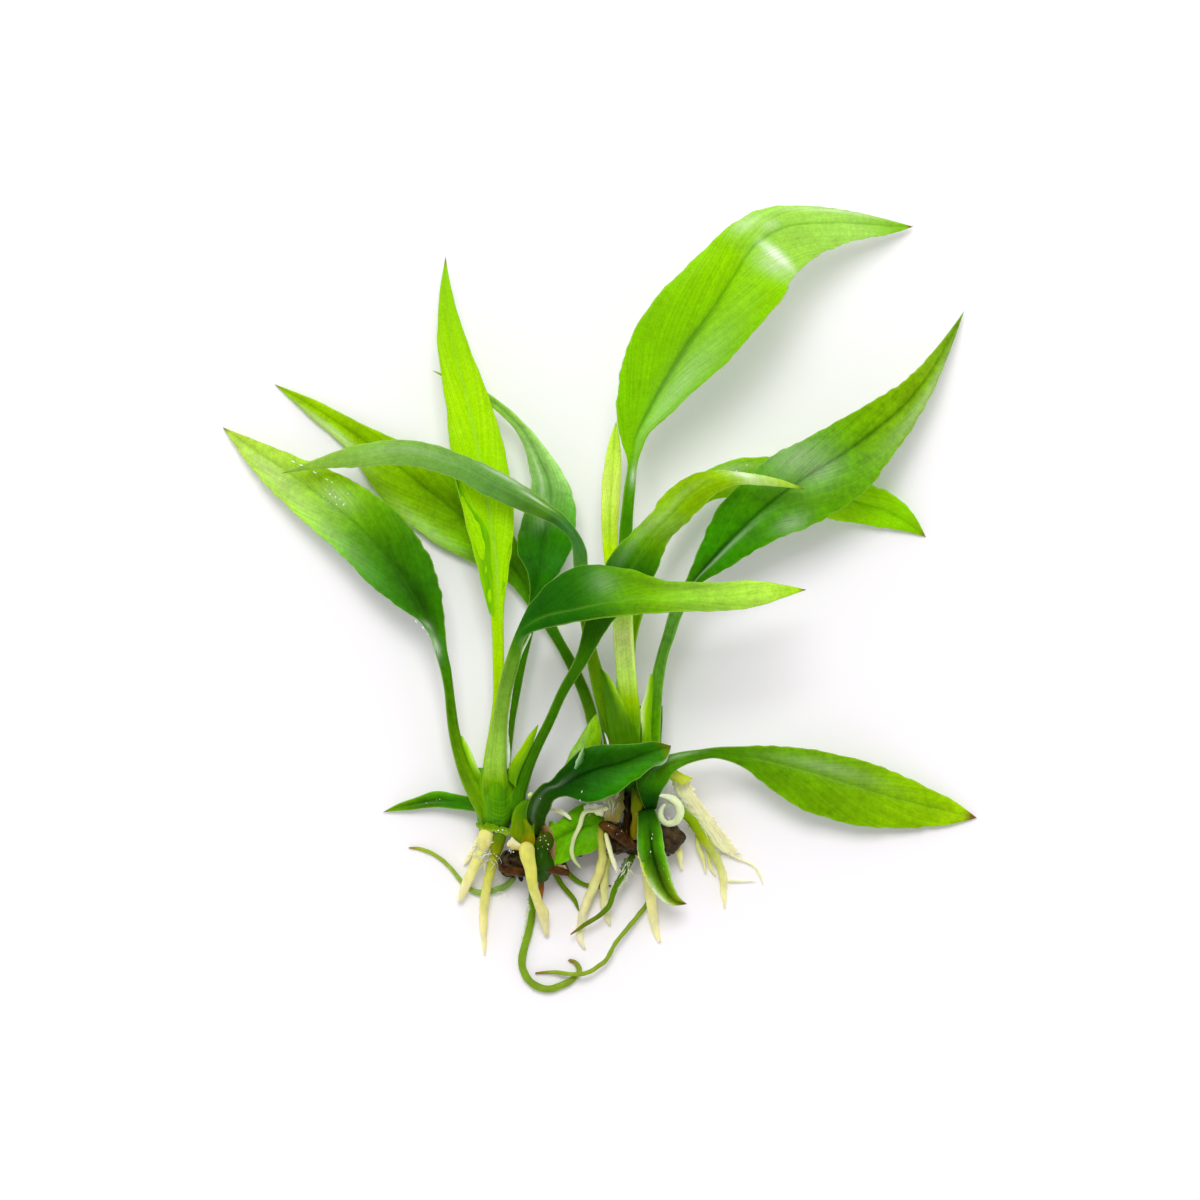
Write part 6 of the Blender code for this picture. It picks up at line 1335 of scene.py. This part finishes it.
class StageSizes(bpy.types.PropertyGroup):
    """Sizes and lights of the stage."""

    width_seen: bpy.props.FloatProperty(
        name="Width seen", description="Width of the floor that the camera sees", default=0.2, unit="LENGTH"
    )
    camera_height: bpy.props.FloatProperty(
        name="Camera height", description="Height of the camera over the floor", default=3.0, unit="LENGTH"
    )
    key_power: bpy.props.FloatProperty(
        name="Key light", description="Power of the main lamp", default=7.4, unit="POWER"
    )
    fill_power: bpy.props.FloatProperty(
        name="Fill light", description="Power of the fill lamp", default=0.6, unit="POWER"
    )
    floor: bpy.props.FloatVectorProperty(
        name="Floor", description="Colour of the floor", default=(0.965, 0.93, 0.965),
        size=3, subtype="COLOR", min=0, max=1,
    )


def make_leaves(tuft, scene):
    """Makes the leaves and bracts of the left or the right tuft."""
    for name in (n for n in LEAVES if n.split("_")[1] == tuft):
        skin = leaf_skin(name, scene.lagenandra_leaf_sizes)
        material = leaf_material(name, scene.lagenandra_leaf_tints)
        piece(name.replace("leaf", "blade"), skin, material, FINISHES[name]["slot"], [name])


class MakeLeftLeaves(bpy.types.Operator):
    """Makes the leaves of the left tuft."""

    bl_idname = "lagenandra.left_leaves"
    bl_label = "Left tuft's leaves"

    def execute(self, context):
        make_leaves("left", context.scene)
        return {"FINISHED"}


class MakeRightLeaves(bpy.types.Operator):
    """Makes the leaves of the right tuft."""

    bl_idname = "lagenandra.right_leaves"
    bl_label = "Right tuft's leaves"

    def execute(self, context):
        make_leaves("right", context.scene)
        return {"FINISHED"}


class MakeCrowns(bpy.types.Operator):
    """Makes the two crowns, where the leaf bases grow together."""

    bl_idname = "lagenandra.crowns"
    bl_label = "Crowns"

    def execute(self, context):
        material = crown_material()
        for name in CROWN_FORMS:
            piece(name + "_sheaths", crown_skin(name), material, "crown", [name])
        return {"FINISHED"}


class MakeSheets(bpy.types.Operator):
    """Makes the thin sheets: wings of the leaf bases, sheaths, rolled margins and torn films."""

    bl_idname = "lagenandra.sheets"
    bl_label = "Sheaths and films"

    def execute(self, context):
        for i, (name, look) in enumerate(SHEETS.items()):
            nodes = [look["replaces"]] if "replaces" in look else []
            piece(name, plate(look, i), sheet_material(name, look), look["slot"], nodes)
        return {"FINISHED"}


class MakeRhizome(bpy.types.Operator):
    """Makes the creeping stem with its stubs and the flakes of bark on it."""

    bl_idname = "lagenandra.rhizome"
    bl_label = "Rhizome"

    def execute(self, context):
        bark = plain_tissue("wet rhizome bark", "#171008", "#54432A", 0.0011, 0.22, glow=0.0, relief=0.0005)
        piece("rhizome_bark", rhizome_skin(), bark, "rhizome", ["rhizome"])
        flake = plain_tissue("wet bark flake", "#26160A", "#5E3C14", 0.0016, 0.2, glow=0.05, relief=0.0002)
        looks = [{"rows": rows, "body": (0.35, 0.5), "ragged": 0.12} for rows in FLAKES]
        skins = [plate(look, FLAKE_SEED + i) for i, look in enumerate(looks)]
        piece("bark_flakes", joined(skins), flake, "rhizome", [])
        chunk = plate({"rows": CHUNK, "body": (1.2, 0.7), "ragged": 0.35}, CHUNK_SEED)
        piece("bark_chunk", chunk, bark, "rhizome", [])
        for i, (name, (rows, tones)) in enumerate(DARK_STUBS.items()):
            skin = tube(rows, STUB_STEP, STUB_AROUND, 0.3, STUB_SEED + i)
            piece(name, skin, root_material(name, tones, 0.22, 0.1), "rhizome", [])
        return {"FINISHED"}


class MakeRoots(bpy.types.Operator):
    """Makes the pale roots, their branches and their torn ends."""

    bl_idname = "lagenandra.roots"
    bl_label = "Pale roots"

    def execute(self, context):
        sizes = context.scene.lagenandra_root_sizes
        for i, (name, (rows, tones)) in enumerate({**ROOTS, **EXTRA_ROOTS}.items()):
            skin = tube(rows, sizes.step / MM, ROOT_AROUND, sizes.unevenness, ROOT_SEED + i)
            nodes = [name] if name in ROOTS else []
            piece(name.replace("root", "fleshy_root"), skin, root_material(name, tones), "root_pale", nodes)
        name, skin = "root_right_5", plate(FLAT_ROOT, FLAT_ROOT_SEED)
        piece("fleshy_" + name, skin, sheet_material(name, FLAT_ROOT), "root_pale", [name])
        return {"FINISHED"}


class MakeThreads(bpy.types.Operator):
    """Makes the thin green roots."""

    bl_idname = "lagenandra.threads"
    bl_label = "Green roots"

    def execute(self, context):
        sizes = context.scene.lagenandra_root_sizes
        for i, (name, (rows, tones)) in enumerate(THREADS.items()):
            skin = tube(rows, sizes.step / MM, THREAD_AROUND, sizes.unevenness, THREAD_SEED + i)
            material = root_material(name, tones, 0.3, 0.3)
            piece(name.replace("root", "thin_root"), skin, material, "root_green", [name])
        return {"FINISHED"}


class MakeFibres(bpy.types.Operator):
    """Makes the tufts of fine white fibres on torn tissue."""

    bl_idname = "lagenandra.fibres"
    bl_label = "Fibres"

    def execute(self, context):
        rows = [line for tuft in FIBRES for line in tuft_rows(*tuft)]
        skins = [tube(line, FIBRE_STEP, FIBRE_AROUND, 0.1, i) for i, line in enumerate(rows)]
        pale = plain_tissue("torn plant fibre", "#C8CEA0", "#F0F2E0", 0.0015, 0.3, glow=0.4)
        piece("torn_fibres", joined(skins), pale, "root_pale", [])
        return {"FINISHED"}


class MakeDrops(bpy.types.Operator):
    """Makes the small drops of water that stand on the plant, white as painted glints."""

    bl_idname = "lagenandra.drops"
    bl_label = "Water drops"

    def execute(self, context):
        tops = plant_heights([drop[:2] for drop in DROPS])
        skins = [drop_skin(x, y, z, *rest) for (x, y, *rest), z in zip(DROPS, tops)]
        made, _, shader = new_material("standing water, white as painted glints")
        # white, as painted glints on the water
        shader.inputs["Base Color"].default_value = (0.95, 0.97, 0.94, 1.0)
        shader.inputs["Roughness"].default_value = 0.05
        shader.inputs["Alpha"].default_value = 0.9
        piece("water_drops", joined(skins), made, "crown", [])
        return {"FINISHED"}


class MakeStage(bpy.types.Operator):
    """Makes the pale floor, the soft lights and the camera straight above."""

    bl_idname = "lagenandra.stage"
    bl_label = "Stage"

    def execute(self, context):
        scene = context.scene
        sizes = scene.lagenandra_stage_sizes
        mesh = bpy.data.meshes.new("floor")
        mesh.from_pydata([(-4, -4, 0), (4, -4, 0), (4, 4, 0), (-4, 4, 0)], [], [(0, 1, 2, 3)])
        floor_material, _, shader = new_material("matt white board")
        shader.inputs["Base Color"].default_value = (*sizes.floor, 1.0)
        shader.inputs["Roughness"].default_value = 0.9
        shader.inputs["Specular IOR Level"].default_value = 0.1
        mesh.materials.append(floor_material)
        floor = bpy.data.objects.new("floor", mesh)
        scene.collection.objects.link(floor)
        for name, place, size, power in (
            ("key", (-0.06, 0.5, 1.05), 0.5, sizes.key_power),
            ("fill", (-0.7, 0.3, 0.75), 0.9, sizes.fill_power),
        ):
            lamp = bpy.data.lights.new(name, "AREA")
            lamp.size, lamp.energy = size, power
            made = bpy.data.objects.new(name, lamp)
            made.location = place
            away = -np.array(place) / np.linalg.norm(place)
            made.rotation_euler = (math.acos(-away[2]), 0.0, math.atan2(-away[0], away[1]))
            scene.collection.objects.link(made)
        world = bpy.data.worlds.new("soft studio")
        world.use_nodes = True
        tree = world.node_tree
        sky = tree.nodes["Background"]
        way = add(tree, "TexCoord").outputs["Generated"]
        height = add(tree, "SeparateXYZ", [("Vector", way)]).outputs["Z"]
        stops = [(0.0, (1.0, 1.0, 1.0, 1.0)), (0.85, (0.25, 0.25, 0.25, 1.0))]
        ramp = add(tree, "ValToRGB", [("Fac", height)], stops)
        tree.links.new(ramp.outputs["Color"], sky.inputs["Color"])
        sky.inputs["Strength"].default_value = 1.5
        scene.world = world
        scene.view_settings.view_transform = "Standard"
        camera = bpy.data.cameras.new("camera")
        camera.sensor_width = 36.0
        camera.lens = camera.sensor_width * sizes.camera_height / sizes.width_seen
        camera.clip_start, camera.clip_end = 0.1, 20.0
        made = bpy.data.objects.new("camera", camera)
        made.location = (0.0, 0.0, sizes.camera_height)
        scene.collection.objects.link(made)
        scene.camera = made
        return {"FINISHED"}


class LagenandraPanel(bpy.types.Panel):
    """Shows the plant's settings and the buttons for the steps that make its pieces."""

    bl_idname = "VIEW3D_PT_lagenandra"
    bl_label = "Lagenandra"
    bl_space_type = "VIEW_3D"
    bl_region_type = "UI"
    bl_category = "Lagenandra"

    def draw(self, context):
        for group in SETTINGS:
            settings = getattr(context.scene, group)
            for key in settings.bl_rna.properties.keys():
                if key not in ("rna_type", "name"):
                    self.layout.prop(settings, key)
        for step in STEPS:
            self.layout.operator(step.bl_idname)


SETTINGS = {
    "lagenandra_leaf_sizes": LeafSizes,
    "lagenandra_leaf_tints": LeafTints,
    "lagenandra_root_sizes": RootSizes,
    "lagenandra_stage_sizes": StageSizes,
}
STEPS = (
    MakeLeftLeaves, MakeRightLeaves, MakeCrowns, MakeSheets, MakeRhizome, MakeRoots, MakeThreads, MakeFibres,
    MakeDrops, MakeStage,
)


def register():
    for made in (*SETTINGS.values(), *STEPS, LagenandraPanel):
        bpy.utils.register_class(made)
    for name, made in SETTINGS.items():
        setattr(bpy.types.Scene, name, bpy.props.PointerProperty(type=made))


def unregister():
    for name in SETTINGS:
        delattr(bpy.types.Scene, name)
    for made in (LagenandraPanel, *reversed(STEPS), *reversed(list(SETTINGS.values()))):
        bpy.utils.unregister_class(made)


def main():
    register()
    for step in STEPS:
        group, name = step.bl_idname.split(".")
        if getattr(getattr(bpy.ops, group), name)() != {"FINISHED"}:
            raise RuntimeError(f"{step.bl_label} didn't finish")


if __name__ == "__main__":
    main()
